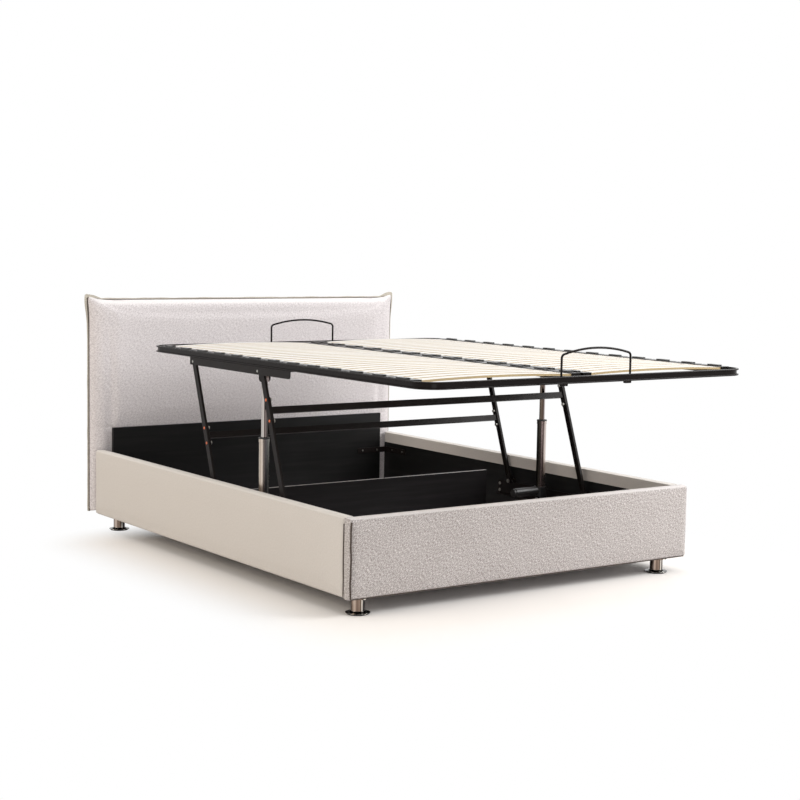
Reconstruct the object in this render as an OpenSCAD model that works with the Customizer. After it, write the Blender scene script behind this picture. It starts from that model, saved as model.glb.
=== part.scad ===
// Upholstered storage bed with a powered lift-up slatted platform, shown with the platform raised.
// X runs across the bed, Y from the foot to the head, and Z up from the floor.
// The origin lies on the floor, in the middle of the raised bed's overall length and width.
// Left is -X and right is +X. Distances named from_foot start at the footboard's outer face.

/* [Mattress] */
// Width of the mattress that the platform takes
mattress_w = 1500; // [1200:100:1800]
// Length of the mattress
mattress_l = 2000; // [1900:50:2100]

/* [Base] */
// Height of the rails without the feet
rail_h = 285; // [270:5:320]
// Thickness of the boards inside the rails and the footboard
board_t = 28; // [22:1:32]
// Thickness of foam and cloth on the outer face of the boards
pad_t = 15; // [12:1:20]
// Thickness of the cloth where it folds over a board's edge
cloth_t = 2; // [1:0.5:3]
// Depth of the cloth folded down inside the rails
fold_h = 50; // [30:5:60]
// Radius of the padded outer edges
pad_r = 11; // [6:1:12]
// Thickness of the storage floor panels
floor_t = 10; // [6:1:12]
// Thickness of the divider across the storage box
divider_t = 16; // [12:1:22]
// Distance of the divider from the footboard's outer face
divider_from_foot = 1110; // [1090:5:1120]

/* [Feet] */
// Height of the feet
foot_h = 60; // [50:5:80]
// Diameter of a foot's tube
foot_d = 50; // [38:1:54]
// Diameter of a foot's base disc
foot_disc_d = 88; // [76:2:92]

/* [Headboard] */
// Width of the headboard's padded front
headboard_w = 1612; // [1600:2:1640]
// Height of the headboard above the floor
headboard_h = 1008; // [900:4:1200]
// Depth of the padded front
headboard_pad_t = 48; // [36:2:60]
// Thickness of the board behind the padded front
headboard_board_t = 34; // [24:2:40]
// Width of the pinched seam that stands out round the headboard
flange_w = 10; // [6:1:14]
// Height of the black panel at the head end above the rails
head_panel_rise = 97; // [60:1:140]
// Thickness of the black panel at the head end
head_panel_t = 16; // [12:1:18]

/* [Lift linkage] */
// Distance between the end pivots of an arm
arm_l = 598; // [580:2:606]
// Slope of the arms with the platform raised, in degrees
raised_angle = 70.3; // [66:0.1:72]
// Slope of the arms with the platform down, in degrees
closed_angle = 3; // [3:0.1:5]
// Height of the arms' lower pivots above the floor
pivot_h = 232; // [228:1:240]
// Distance of the front arms' lower pivots from the footboard's outer face
front_pivot_from_foot = 533; // [520:1:545]
// Distance from the front arms to the rear arms
arm_spacing = 516; // [506:1:526]
// Width of an arm
arm_w = 26; // [22:1:28]
// Thickness of an arm
arm_t = 10; // [8:1:11]
// Diameter of the pivot pins
pin_d = 10; // [8:1:12]
// Share of the front arms' length up to their crossbar
front_crossbar_share = 0.742; // [0.72:0.002:0.75]
// Share of the rear arms' length up to their crossbar
rear_crossbar_share = 0.487; // [0.47:0.001:0.5]
// Width of the crossbars along the arms
crossbar_w = 25; // [20:1:30]
// Thickness of the crossbars
crossbar_t = 15; // [12:1:18]

/* [Actuators] */
// Distance of the actuators' lower pins from the footboard's outer face
actuator_from_foot = 777; // [770:1:785]
// Height of the actuators' lower pins above the floor
actuator_pin_h = 190; // [186:1:194]
// Outer diameter of the actuators' housing tube
tube_d = 40; // [36:1:42]
// Diameter of the actuators' push rod
rod_d = 24; // [20:1:26]
// Length of the housing tube above the lower pin
tube_top_l = 338; // [334:1:342]
// Diameter of the motors
motor_d = 38; // [34:1:40]
// Length of the motors
motor_l = 128; // [110:2:140]

/* [Platform] */
// Height of the platform's rim
rim_h = 26; // [24:1:30]
// Width of the rim's flanges
rim_w = 30; // [26:1:34]
// Outer radius of the rim's corners
rim_r = 85; // [75:5:90]
// Height of the top pivots below the rim
pivot_drop = 17; // [16:1:18]
// Height of the lift channels below the rim
channel_h = 30; // [28:1:31]
// Number of slat pairs in each bay
slat_pairs = 13; // [11:1:13]
// Width of a slat
slat_w = 53; // [46:1:56]
// Thickness of a slat
slat_t = 8; // [7:0.5:9]
// Rise of a slat's middle above its ends
slat_crown = 9; // [6:0.5:10]
// Width of the mattress bails
bail_w = 320; // [280:10:360]
// Diameter of the bails' wire
bail_d = 8; // [6:1:10]

/* [Hidden] */
$fn = 48;

// Clearances and shared small sizes
overrun = 1;
running_gap = 0.05;
seat_gap = 0.3;
screw_gap = 0.1;
sheet_t = 3;
pin_head_d = 18;
pin_head_t = 4;
bolt_d = 8;
bolt_head_d = 14;
bolt_head_t = 3;
bolt_grip = 18;
nut_h = 8;
screw_d = 5;
screw_head_d = 9;
screw_head_t = 2.4;
screw_grip = 14;

// Base
side_play = 9.5;
platform_inset_w = 5;
platform_inset_l = 14;
foot_play = 7;
head_play = 13;
platform_w = mattress_w - platform_inset_w;
platform_l = mattress_l - platform_inset_l;
rail_t = board_t + pad_t;
inner_w = platform_w + 2 * side_play;
base_w = inner_w + 2 * rail_t;
inner_x = inner_w / 2;
closed_from_foot = rail_t + foot_play;
base_l = closed_from_foot + platform_l + head_play + head_panel_t;
rail_top = foot_h + rail_h;
board_low = foot_h;
board_high = rail_top - cloth_t;
ledge_w = 20;
ledge_h = 12;
floor_play = 2;
floor_low = board_low + ledge_h;
floor_top = floor_low + floor_t;

// Lift linkage, with the places of the raised platform
arm_reach = arm_l * cos(raised_angle);
arm_rise = arm_l * sin(raised_angle);
travel_y = arm_l * cos(closed_angle) - arm_reach;
travel_z = arm_rise - arm_l * sin(closed_angle);
rear_pivot_from_foot = front_pivot_from_foot + arm_spacing;
platform_from_foot = closed_from_foot - travel_y;
platform_low = pivot_h + arm_rise + pivot_drop;
platform_top = platform_low + rim_h;
rim_ledge_h = rim_h / 2;
rim_ledge_top = platform_low + rim_ledge_h;
front_crossbar_at = arm_l * front_crossbar_share;
rear_crossbar_at = arm_l * rear_crossbar_share;
closed_low = platform_low - travel_z;
web_play = 6;
washer_t = 2;
arm_play = 2.5;
web_x = inner_x - sheet_t - web_play;
rear_arm_x = web_x - sheet_t - washer_t;
front_arm_x = rear_arm_x - arm_t - arm_play;

// Actuators
actuator_play = 10.5;
actuator_x = front_arm_x - arm_t - actuator_play - tube_d / 2;
bracket_drop = 47;
head_pin_h = platform_low - bracket_drop;
eye_r = 14;
eye_w = 24;
ear_t = 4;
ear_play = 1;
ear_r = 16;
gearbox_low = 18;
gearbox_high = 58;
shelf_drop = 24;
gearbox_w = 46;
motor_rise = 38;
collar_h = 10;
tube_wall = 2.5;
rod_wall = 3;
rod_overlap = 36;
screw_r = 6;
screw_seat = 12;
screw_low = gearbox_high - screw_seat;

// Headboard
headboard_front = base_l;
headboard_seam = headboard_front + headboard_pad_t;
flange_t = 4;
headboard_low = foot_h + 3 * cloth_t;
headboard_back_t = 2;
headboard_rear = headboard_seam + flange_t + headboard_board_t + headboard_back_t;

// Feet
foot_side = 66;
front_right_foot_side = 112;
foot_from_end = 50;
foot_from_head = 108;
glide_h = 4;
disc_h = 6;
foot_plate_w = 82;
foot_plate_t = 4;
foot_top = board_low - seat_gap;

// The footboard's outer face in the frame of the whole bed
foot_y = -(headboard_rear + platform_from_foot) / 2;

// Helpers

module placed() {
    translate([0, foot_y, 0]) children();
}

module on_right() {
    placed() children();
}

module on_left() {
    mirror([1, 0, 0]) placed() children();
}

module on_both() {
    on_right() children();
    on_left() children();
}

// Extrudes an outline drawn in Y and Z from x towards +X
module slab_x(x, t) {
    translate([x, 0, 0]) rotate([90, 0, 90]) linear_extrude(t) children();
}

// Extrudes an outline drawn in X and Z from y towards +Y
module slab_y(y, t) {
    translate([0, y + t, 0]) rotate([90, 0, 0]) linear_extrude(t) children();
}

module bar_x(x, y, z, l, d) {
    translate([x, y, z]) rotate([0, 90, 0]) cylinder(h = l, d = d);
}

module bar_y(x, y, z, l, d) {
    translate([x, y, z]) rotate([-90, 0, 0]) cylinder(h = l, d = d);
}

module centred_box(x, y, z, size) {
    translate([x - size.x / 2, y - size.y / 2, z]) cube(size);
}

module rounded_rect(w, l, r) {
    square([w - 2 * r, l], center = true);
    square([w, l - 2 * r], center = true);
    for (sx = [-1, 1], sy = [-1, 1])
        translate([sx * (w / 2 - r), sy * (l / 2 - r)]) circle(r = r);
}

// A strip whose two ends are round, from the origin along +X
module link_outline(l, w) {
    translate([0, -w / 2]) square([l, w]);
    circle(d = w);
    translate([l, 0]) circle(d = w);
}

// Rails and footboard

// Cross-section of a cover over a board's outer face at 0, with +X outwards
module pad_section() {
    difference() {
        union() {
            translate([-board_t, foot_h]) square([rail_t - pad_r, rail_h]);
            translate([0, foot_h + pad_r]) square([pad_t, rail_h - 2 * pad_r]);
            for (z = [foot_h + pad_r, rail_top - pad_r])
                translate([pad_t - pad_r, z]) circle(r = pad_r);
        }
        translate([-board_t - overrun, foot_h - overrun])
            square([board_t + overrun, rail_h - cloth_t + overrun]);
    }
}

// The cloth that is folded down inside the board
module fold_section() {
    translate([-board_t - cloth_t, rail_top - fold_h]) square([cloth_t, fold_h]);
}

module rail_board() {
    y0 = rail_t + seat_gap;
    difference() {
        translate([inner_x, y0, board_low])
            cube([board_t - seat_gap, base_l - y0, board_high - board_low - seat_gap]);
        for (p = plate_bolt_places)
            bar_x(inner_x - overrun, p.x, p.y, bolt_grip + overrun, bolt_d);
        for (s = bracket_screw_shares,
             y = [bracket_foot_y + s * bracket_leg, bracket_head_y - s * bracket_leg])
            bar_x(inner_x - overrun, y, bracket_h, screw_grip + overrun, screw_d);
    }
}

module left_rail_board() {
    color("#1c1b1b") on_left() rail_board();
}

module right_rail_board() {
    color("#1c1b1b") on_right() rail_board();
}

module rail_cover() {
    y0 = rail_t + seat_gap;
    slab_y(y0, base_l - y0) translate([inner_x + board_t, 0]) {
        pad_section();
        fold_section();
    }
}

module left_rail_cover() {
    color("#c9c0b2") on_left() rail_cover();
}

module right_rail_cover() {
    color("#b9b1a6") on_right() rail_cover();
}

module footboard_board() {
    color("#1c1b1b") placed() difference() {
        translate([-base_w / 2 + pad_t, pad_t + seat_gap, board_low])
            cube([base_w - 2 * pad_t, board_t - seat_gap, board_high - board_low - seat_gap]);
        for (side = [-1, 1], s = bracket_screw_shares)
            bar_y(side * (inner_x - s * bracket_leg), rail_t - screw_grip, bracket_h,
                  screw_grip + overrun, screw_d);
    }
}

// The padding wraps the footboard's face, top and both ends
module footboard_cover() {
    end_x = base_w / 2 - pad_t;
    fold_x = inner_x - cloth_t - seat_gap;
    color("#c6c3be") placed() {
        slab_x(-base_w / 2, base_w) translate([pad_t, 0]) mirror([1, 0]) pad_section();
        slab_x(-fold_x, 2 * fold_x) translate([pad_t, 0]) mirror([1, 0]) fold_section();
        for (side = [0, 1]) mirror([side, 0, 0])
            translate([end_x, pad_t, foot_h]) cube([pad_t, board_t, rail_h]);
    }
}

// Corner brackets, one angle in each inner corner of the base
bracket_leg = 168;
bracket_w = 26;
bracket_t = 4;
bracket_h = 260;
bracket_screw_shares = [0.35, 0.85];
bracket_foot_y = rail_t;
bracket_head_y = base_l - head_panel_t;

module corner_bracket() {
    difference() {
        union() {
            centred_box(-bracket_leg / 2, bracket_t / 2, -bracket_w / 2,
                        [bracket_leg, bracket_t, bracket_w]);
            centred_box(-bracket_t / 2, bracket_leg / 2, -bracket_w / 2,
                        [bracket_t, bracket_leg, bracket_w]);
        }
        for (s = bracket_screw_shares) {
            bar_y(-s * bracket_leg, -overrun, 0, bracket_t + 2 * overrun, screw_d + 2 * screw_gap);
            bar_x(-bracket_t - overrun, s * bracket_leg, 0, bracket_t + 2 * overrun,
                  screw_d + 2 * screw_gap);
        }
    }
}

module bracket_screw() {
    rotate([-90, 0, 0]) {
        cylinder(h = screw_head_t, d = screw_head_d);
        translate([0, 0, -bracket_t - screw_grip + overrun])
            cylinder(h = bracket_t + screw_grip - overrun, d = screw_d);
    }
}

module corner_bracket_set() {
    for (side = [0, 1]) mirror([side, 0, 0]) {
        translate([inner_x, bracket_foot_y, bracket_h]) children();
        translate([inner_x, bracket_head_y, bracket_h]) mirror([0, 1, 0]) children();
    }
}

module corner_brackets() {
    color("#232222") placed() corner_bracket_set() corner_bracket();
}

module corner_bracket_screws() {
    color("#77746f") placed() corner_bracket_set()
        for (s = bracket_screw_shares) {
            translate([-s * bracket_leg, bracket_t, 0]) bracket_screw();
            translate([-bracket_t, s * bracket_leg, 0]) rotate([0, 0, 90]) bracket_screw();
        }
}

// Storage box

module floor_panel(y0, y1) {
    translate([-inner_x + floor_play, y0, floor_low])
        cube([inner_w - 2 * floor_play, y1 - y0, floor_t]);
}

module foot_floor_panel() {
    color("#463f40") placed()
        floor_panel(rail_t + floor_play, divider_from_foot - floor_play / 2);
}

module head_floor_panel() {
    color("#463f40") placed()
        floor_panel(divider_from_foot + floor_play / 2,
                    base_l - head_panel_t - bracket_t - floor_play);
}

module floor_ledges() {
    middle_l = inner_w - 2 * (ledge_w + seat_gap);
    color("#262424") placed() {
        for (side = [0, 1]) mirror([side, 0, 0])
            translate([inner_x - ledge_w, rail_t, board_low])
                cube([ledge_w, base_l - rail_t - head_panel_t - bracket_t, ledge_h]);
        translate([-middle_l / 2, divider_from_foot - ledge_w, board_low])
            cube([middle_l, 2 * ledge_w, ledge_h]);
    }
}

divider_side = 107;

module divider() {
    color("#201e1e") placed()
        translate([-inner_x + divider_side, divider_from_foot - divider_t / 2, floor_top])
            cube([inner_w - 2 * divider_side, divider_t, closed_low - seat_gap - floor_top]);
}

// Headboard

module headboard_core() {
    color("#8d7350") placed()
        translate([-headboard_w / 2 + flange_w, headboard_seam + flange_t, headboard_low])
            cube([headboard_w - 2 * flange_w, headboard_board_t,
                  headboard_h - headboard_low - flange_w]);
}

// Depth of the padded front as a share of its crown: u and v run from 0 to 1 across and up
border_share = 0.05;
border_rise_share = 0.9;
seam_dip_share = 0.16;

function edge_rise(d) = d >= 1 ? 1 : sqrt(1 - pow(1 - d, 2));

function pad_depth(x, z) =
    let (
        side = min(x + headboard_w / 2, headboard_w / 2 - x),
        end = min(z - headboard_low, headboard_h - z),
        roll = headboard_pad_t * border_rise_share,
        rise = edge_rise(side / roll) * edge_rise(end / roll),
        seam = seam_dip_share * exp(-pow((z - rail_top - head_panel_rise) / (roll / 2), 2)),
        hem_in = headboard_w * border_share,
        hem = seam_dip_share * exp(-pow((min(side, end) - hem_in) / (roll / 4), 2))
    )
    (headboard_pad_t - 2 * seat_gap) * rise * (1 - max(seam, hem) / 2);

pad_columns = 40;
pad_rows = 24;

// Steps from 0 to 1 that crowd towards both ends, where the padding rolls over
function crowded(i, n) = (1 - cos(180 * i / n)) / 2;

module headboard_pad() {
    points = [
        for (j = [0 : pad_rows], i = [0 : pad_columns])
            let (
                x = -headboard_w / 2 + headboard_w * crowded(i, pad_columns),
                z = headboard_low + (headboard_h - headboard_low) * crowded(j, pad_rows)
            )
            [x, headboard_seam - seat_gap - pad_depth(x, z), z]
    ];
    row = pad_columns + 1;
    n = len(points);
    front = [
        for (j = [0 : pad_rows - 1], i = [0 : pad_columns - 1])
            let (a = j * row + i)
            each [[a, a + row, a + 1], [a + 1, a + row, a + row + 1]]
    ];
    border = concat(
        [for (i = [0 : pad_columns]) i],
        [for (j = [1 : pad_rows]) j * row + pad_columns],
        [for (i = [1 : pad_columns]) pad_rows * row + pad_columns - i],
        [for (j = [1 : pad_rows - 1]) (pad_rows - j) * row]
    );
    m = len(border);
    rim = [
        for (k = [0 : m - 1])
            let (a = border[k], b = border[(k + 1) % m])
            each [[a, b, n + k], [b, n + (k + 1) % m, n + k]]
    ];
    back_points = concat(
        [for (k = border) [points[k].x, headboard_seam, points[k].z]],
        [[0, headboard_seam, (headboard_low + headboard_h) / 2]]
    );
    back = [for (k = [0 : m - 1]) [n + m, n + k, n + (k + 1) % m]];
    color("#cfcac7") placed()
        polyhedron(points = concat(points, back_points), faces = concat(front, rim, back));
}

// Back cloth with the pinched seam that runs round the headboard and ends in two ears
ear_out = 9;
ear_run = 60;

module flange_outline() {
    half = headboard_w / 2 + flange_w;
    top = headboard_h + flange_w;
    polygon([
        [-half, headboard_low], [half, headboard_low], [half, top - ear_run],
        [half + ear_out, top + ear_out], [half - ear_run, top],
        [-half + ear_run, top], [-half - ear_out, top + ear_out], [-half, top - ear_run],
    ]);
}

module headboard_back() {
    side = headboard_w / 2 - headboard_back_t;
    color("#a5a09d") placed() difference() {
        union() {
            slab_y(headboard_seam + seat_gap, flange_t - seat_gap) flange_outline();
            translate([-side, headboard_seam + overrun, headboard_low])
                cube([2 * side, headboard_rear - headboard_seam - overrun,
                      headboard_h - headboard_low - headboard_back_t]);
        }
        translate([-headboard_w / 2 + flange_w - seat_gap, headboard_seam + flange_t - seat_gap,
                   headboard_low - overrun])
            cube([headboard_w - 2 * flange_w + 2 * seat_gap,
                  headboard_board_t + 2 * seat_gap,
                  headboard_h - headboard_low - flange_w + overrun + seat_gap]);
    }
}

head_panel_side = 38;

module head_panel() {
    half = inner_x - head_panel_side;
    color("#1b1a1a") placed() difference() {
        translate([-half, base_l - head_panel_t, board_low])
            cube([2 * half, head_panel_t - seat_gap, rail_top + head_panel_rise - board_low]);
        for (side = [-1, 1], s = bracket_screw_shares)
            bar_y(side * (inner_x - s * bracket_leg), base_l - head_panel_t - overrun, bracket_h,
                  screw_grip + overrun, screw_d);
    }
}

// Feet: a tube on a stepped disc, with a fixing plate under the board

module bed_foot() {
    rotate_extrude() polygon([
        [0, glide_h], [foot_disc_d / 2 - overrun, glide_h], [foot_disc_d / 2, glide_h + overrun],
        [foot_disc_d / 2, disc_h], [foot_d / 2 + disc_h, disc_h + overrun],
        [foot_d / 2, 2 * disc_h], [foot_d / 2, foot_top - foot_plate_t],
        [foot_plate_w / 2, foot_top - foot_plate_t], [foot_plate_w / 2, foot_top],
        [0, foot_top],
    ]);
}

foot_x = base_w / 2 - foot_side;
front_right_foot_x = base_w / 2 - front_right_foot_side;
rear_foot_from_foot = base_l - foot_from_head;

module front_left_foot() {
    color("#b9bbbe") placed() translate([-foot_x, foot_from_end, 0]) bed_foot();
}

module front_right_foot() {
    color("#b9bbbe") placed() translate([front_right_foot_x, foot_from_end, 0]) bed_foot();
}

module rear_left_foot() {
    color("#b9bbbe") placed() translate([-foot_x, rear_foot_from_foot, 0]) bed_foot();
}

module rear_right_foot() {
    color("#b9bbbe") placed() translate([foot_x, rear_foot_from_foot, 0]) bed_foot();
}

module foot_glides() {
    color("#1d1d1d") placed()
        for (p = [[-foot_x, foot_from_end], [front_right_foot_x, foot_from_end],
                  [-foot_x, rear_foot_from_foot], [foot_x, rear_foot_from_foot]])
            translate(p) cylinder(h = glide_h, d = foot_disc_d - 2 * disc_h);
}

// Base plates of the linkage, bolted inside the rails
plate_margin = 50;
plate_low = 165;
plate_high = 225;
plate_r = 22;
plate_foot_y = front_pivot_from_foot - plate_margin;
plate_head_y = rear_pivot_from_foot + 2 * plate_margin;
plate_bolt_in = 15;
plate_bolt_low = plate_low + plate_bolt_in;
plate_bolt_high = plate_high - plate_bolt_in;
plate_bolt_places = [
    for (y = [plate_foot_y + plate_bolt_in, plate_head_y - plate_bolt_in],
         z = [plate_bolt_low, plate_bolt_high]) [y, z]
];
shelf_l = 84;
plate_flange_w = 22;

module plate_outline() {
    difference() {
        union() {
            translate([plate_foot_y, plate_low])
                square([plate_head_y - plate_foot_y, plate_high - plate_low]);
            for (y = [front_pivot_from_foot, rear_pivot_from_foot]) {
                translate([y, pivot_h]) circle(r = plate_r);
                translate([y - plate_r, plate_low]) square([2 * plate_r, pivot_h - plate_low]);
            }
        }
        for (p = plate_bolt_places)
            translate(p) circle(d = bolt_d + 2 * screw_gap);
        for (y = [front_pivot_from_foot, rear_pivot_from_foot])
            translate([y, pivot_h]) circle(d = pin_d + 2 * screw_gap);
    }
}

foot_ear_inner = eye_w / 2 + ear_play;

module actuator_ear_outline(low) {
    difference() {
        union() {
            circle(r = ear_r);
            translate([-ear_r, -low]) square([2 * ear_r, low]);
        }
        circle(d = pin_d + 2 * screw_gap);
    }
}

module base_plate() {
    drop = actuator_pin_h - plate_low;
    shelf_in = actuator_x - foot_ear_inner - ear_t;
    slab_x(inner_x - sheet_t, sheet_t) plate_outline();
    translate([inner_x - plate_flange_w, plate_foot_y, plate_low - sheet_t])
        cube([plate_flange_w, plate_head_y - plate_foot_y, sheet_t]);
    translate([shelf_in, actuator_from_foot - shelf_l / 2, plate_low - shelf_drop])
        difference() {
            cube([inner_x - shelf_in, shelf_l, shelf_drop]);
            translate([-overrun, -overrun, sheet_t])
                cube([inner_x - sheet_t - shelf_in + overrun, shelf_l + 2 * overrun,
                      shelf_drop]);
        }
    for (x = [actuator_x - foot_ear_inner - ear_t, actuator_x + foot_ear_inner])
        slab_x(x, ear_t) translate([actuator_from_foot, actuator_pin_h])
            actuator_ear_outline(drop + shelf_drop);
}

module left_base_plate() {
    color("#1e1c1c") on_left() base_plate();
}

module right_base_plate() {
    color("#1e1c1c") on_right() base_plate();
}

module base_plate_bolts() {
    color("#9a9995") on_both()
        for (p = plate_bolt_places) {
            bar_x(inner_x - sheet_t - bolt_head_t, p.x, p.y, bolt_head_t, bolt_head_d);
            bar_x(inner_x - sheet_t, p.x, p.y, sheet_t + bolt_grip - overrun, bolt_d);
        }
}

// Pivot pins: a head, a running shank and a shoulder that spaces the arm from its plate

module pivot_pin(plate_face, plate_depth, arm_face, y, z) {
    bar_x(arm_face - arm_t - pin_head_t - seat_gap, y, z, pin_head_t, pin_head_d);
    bar_x(arm_face - arm_t - seat_gap, y, z, plate_face - arm_face + arm_t + plate_depth + seat_gap,
          pin_d);
    bar_x(arm_face + seat_gap, y, z, plate_face - arm_face - seat_gap, pin_head_d - pin_head_t);
}

module base_pivot_pins() {
    color("#8b8a87") on_both() {
        pivot_pin(inner_x - sheet_t, sheet_t, front_arm_x, front_pivot_from_foot, pivot_h);
        pivot_pin(inner_x - sheet_t, sheet_t, rear_arm_x, rear_pivot_from_foot, pivot_h);
    }
}

module top_pivot_pins() {
    z = pivot_h + arm_rise;
    color("#8b8a87") on_both() {
        pivot_pin(web_x - sheet_t, sheet_t, front_arm_x, front_pivot_from_foot + arm_reach, z);
        pivot_pin(web_x - sheet_t, sheet_t, rear_arm_x, rear_pivot_from_foot + arm_reach, z);
    }
}

module actuator_foot_pins() {
    l = 2 * (foot_ear_inner + ear_t);
    color("#8b8a87") on_both() {
        bar_x(actuator_x - l / 2 - pin_head_t, actuator_from_foot, actuator_pin_h, pin_head_t,
              pin_head_d);
        bar_x(actuator_x - l / 2, actuator_from_foot, actuator_pin_h, l + pin_head_t, pin_d);
    }
}

// Arms: channels with round ends, bored for the pins

module arm(x, y, top_gap) {
    pocket_t = arm_t - sheet_t;
    lip = sheet_t;
    boss = arm_w;
    difference() {
        slab_x(x - arm_t, arm_t) translate([y, pivot_h]) rotate(raised_angle) difference() {
            link_outline(arm_l, arm_w);
            circle(d = pin_d + 2 * running_gap);
            translate([arm_l, 0]) circle(d = pin_d + 2 * top_gap);
        }
        slab_x(x - arm_t - overrun, pocket_t + overrun) translate([y, pivot_h])
            rotate(raised_angle) translate([boss, -arm_w / 2 + lip])
                square([arm_l - 2 * boss, arm_w - 2 * lip]);
        children();
    }
}

// Places of a crossbar's bolts along the arm from the bar
bolt_reach_front = 41;
bolt_reach_rear = 31;

module arm_bolt_bores(x, y, at, reach) {
    for (s = [-1, 1])
        translate([0, y + (at + s * reach) * cos(raised_angle),
                   pivot_h + (at + s * reach) * sin(raised_angle)])
            bar_x(x - arm_t - overrun, 0, 0, arm_t + 2 * overrun, bolt_d + 2 * screw_gap);
}

module front_arm() {
    arm(front_arm_x, front_pivot_from_foot, running_gap)
        arm_bolt_bores(front_arm_x, front_pivot_from_foot, front_crossbar_at, bolt_reach_front);
}

module rear_arm() {
    arm(rear_arm_x, rear_pivot_from_foot, seat_gap)
        arm_bolt_bores(rear_arm_x, rear_pivot_from_foot, rear_crossbar_at, bolt_reach_rear);
}

module front_left_arm() {
    color("#1f1c1c") on_left() front_arm();
}

module front_right_arm() {
    color("#1f1c1c") on_right() front_arm();
}

module rear_left_arm() {
    color("#1f1c1c") on_left() rear_arm();
}

module rear_right_arm() {
    color("#1f1c1c") on_right() rear_arm();
}

// Crossbars: a rectangular tube between two bolted end plates

module crossbar(arm_x, y, at, reach) {
    end_x = arm_x - arm_t;
    wall = 2;
    half = end_x - sheet_t;
    translate([0, y, pivot_h]) rotate([raised_angle, 0, 0]) translate([0, at, 0]) {
        difference() {
            centred_box(0, 0, -crossbar_t / 2, [2 * half, crossbar_w, crossbar_t]);
            centred_box(0, 0, -crossbar_t / 2 + wall,
                        [2 * half + 2 * overrun, crossbar_w - 2 * wall, crossbar_t - 2 * wall]);
        }
        for (side = [0, 1]) mirror([side, 0, 0]) difference() {
            slab_x(half, sheet_t) translate([-reach, 0]) link_outline(2 * reach, arm_w);
            for (s = [-1, 1])
                bar_x(half - overrun, s * reach, 0, sheet_t + 2 * overrun, bolt_d + 2 * screw_gap);
        }
    }
}

module crossbar_bolts(arm_x, y, at, reach) {
    end_x = arm_x - arm_t - sheet_t;
    translate([0, y, pivot_h]) rotate([raised_angle, 0, 0])
        for (side = [0, 1], s = [-1, 1]) mirror([side, 0, 0]) {
            bar_x(end_x - nut_h, at + s * reach, 0, nut_h, bolt_head_d);
            bar_x(end_x, at + s * reach, 0, arm_t + sheet_t + overrun / 2, bolt_d);
        }
}

module front_crossbar() {
    color("#1f1c1c") placed()
        crossbar(front_arm_x, front_pivot_from_foot, front_crossbar_at, bolt_reach_front);
}

module front_crossbar_bolts() {
    color("#a09f9b") placed()
        crossbar_bolts(front_arm_x, front_pivot_from_foot, front_crossbar_at, bolt_reach_front);
}

module rear_crossbar() {
    color("#1f1c1c") placed()
        crossbar(rear_arm_x, rear_pivot_from_foot, rear_crossbar_at, bolt_reach_rear);
}

module rear_crossbar_bolts() {
    color("#a09f9b") placed()
        crossbar_bolts(rear_arm_x, rear_pivot_from_foot, rear_crossbar_at, bolt_reach_rear);
}

// Actuators, upright with the platform raised, each drawn from its lower pin

module at_actuator() {
    translate([actuator_x, actuator_from_foot, actuator_pin_h]) children();
}

module gearbox() {
    at_actuator() difference() {
        union() {
            slab_x(-eye_w / 2, eye_w) {
                circle(r = eye_r);
                translate([-eye_r, 0]) square([2 * eye_r, gearbox_low]);
            }
            translate([0, 0, gearbox_low - overrun])
                linear_extrude(gearbox_high - gearbox_low + overrun)
                    rounded_rect(gearbox_w, gearbox_w, gearbox_w / 4);
        }
        bar_x(-eye_w / 2 - overrun, 0, 0, eye_w + 2 * overrun, pin_d + 2 * running_gap);
        translate([0, 0, screw_low]) cylinder(h = gearbox_high, r = screw_r + screw_gap);
    }
}

module motor() {
    at_actuator() translate([-gearbox_w / 2 - motor_l, 0, motor_rise])
        rotate([0, 90, 0]) {
            translate([0, 0, collar_h]) cylinder(h = motor_l - collar_h, d = motor_d);
            cylinder(h = collar_h, d = motor_d - collar_h / 2);
        }
}

module housing_tube() {
    at_actuator() {
        difference() {
            translate([0, 0, gearbox_high]) cylinder(h = tube_top_l - gearbox_high, d = tube_d);
            translate([0, 0, gearbox_high - overrun])
                cylinder(h = tube_top_l, d = tube_d - 2 * tube_wall);
        }
        difference() {
            translate([0, 0, tube_top_l - collar_h])
                cylinder(h = collar_h + sheet_t, d = tube_d + tube_wall);
            translate([0, 0, tube_top_l - collar_h - overrun])
                cylinder(h = 2 * collar_h, d = rod_d + 2 * running_gap);
        }
    }
}

raised_length = head_pin_h - actuator_pin_h;
rod_low = tube_top_l - rod_overlap;

module lead_screw() {
    at_actuator() translate([0, 0, screw_low]) cylinder(h = rod_low + rod_overlap / 2 - screw_low,
                                                         r = screw_r);
}

module push_rod() {
    nut_d = tube_d - 2 * tube_wall - 2 * running_gap;
    at_actuator() difference() {
        union() {
            translate([0, 0, rod_low]) cylinder(h = raised_length - eye_r - rod_low + overrun,
                                                d = rod_d);
            translate([0, 0, rod_low]) cylinder(h = rod_overlap / 2, d = nut_d);
            slab_x(-eye_w / 2, eye_w) translate([0, raised_length]) {
                circle(r = eye_r);
                translate([-eye_r, -eye_r - overrun]) square([2 * eye_r, eye_r]);
            }
        }
        translate([0, 0, rod_low - overrun])
            cylinder(h = rod_overlap, r = screw_r + screw_gap);
        translate([0, 0, rod_low + rod_overlap / 2])
            cylinder(h = raised_length - 2 * eye_r - rod_low - rod_overlap / 2,
                     d = rod_d - 2 * rod_wall);
        bar_x(-eye_w / 2 - overrun, 0, raised_length, eye_w + 2 * overrun, pin_d);
    }
}

module left_gearbox() {
    color("#242323") on_left() gearbox();
}

module right_gearbox() {
    color("#242323") on_right() gearbox();
}

module left_motor() {
    color("#2d2c2c") on_left() motor();
}

module right_motor() {
    color("#2d2c2c") on_right() motor();
}

module left_housing_tube() {
    color("#c3beb6") on_left() housing_tube();
}

module right_housing_tube() {
    color("#c3beb6") on_right() housing_tube();
}

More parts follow.
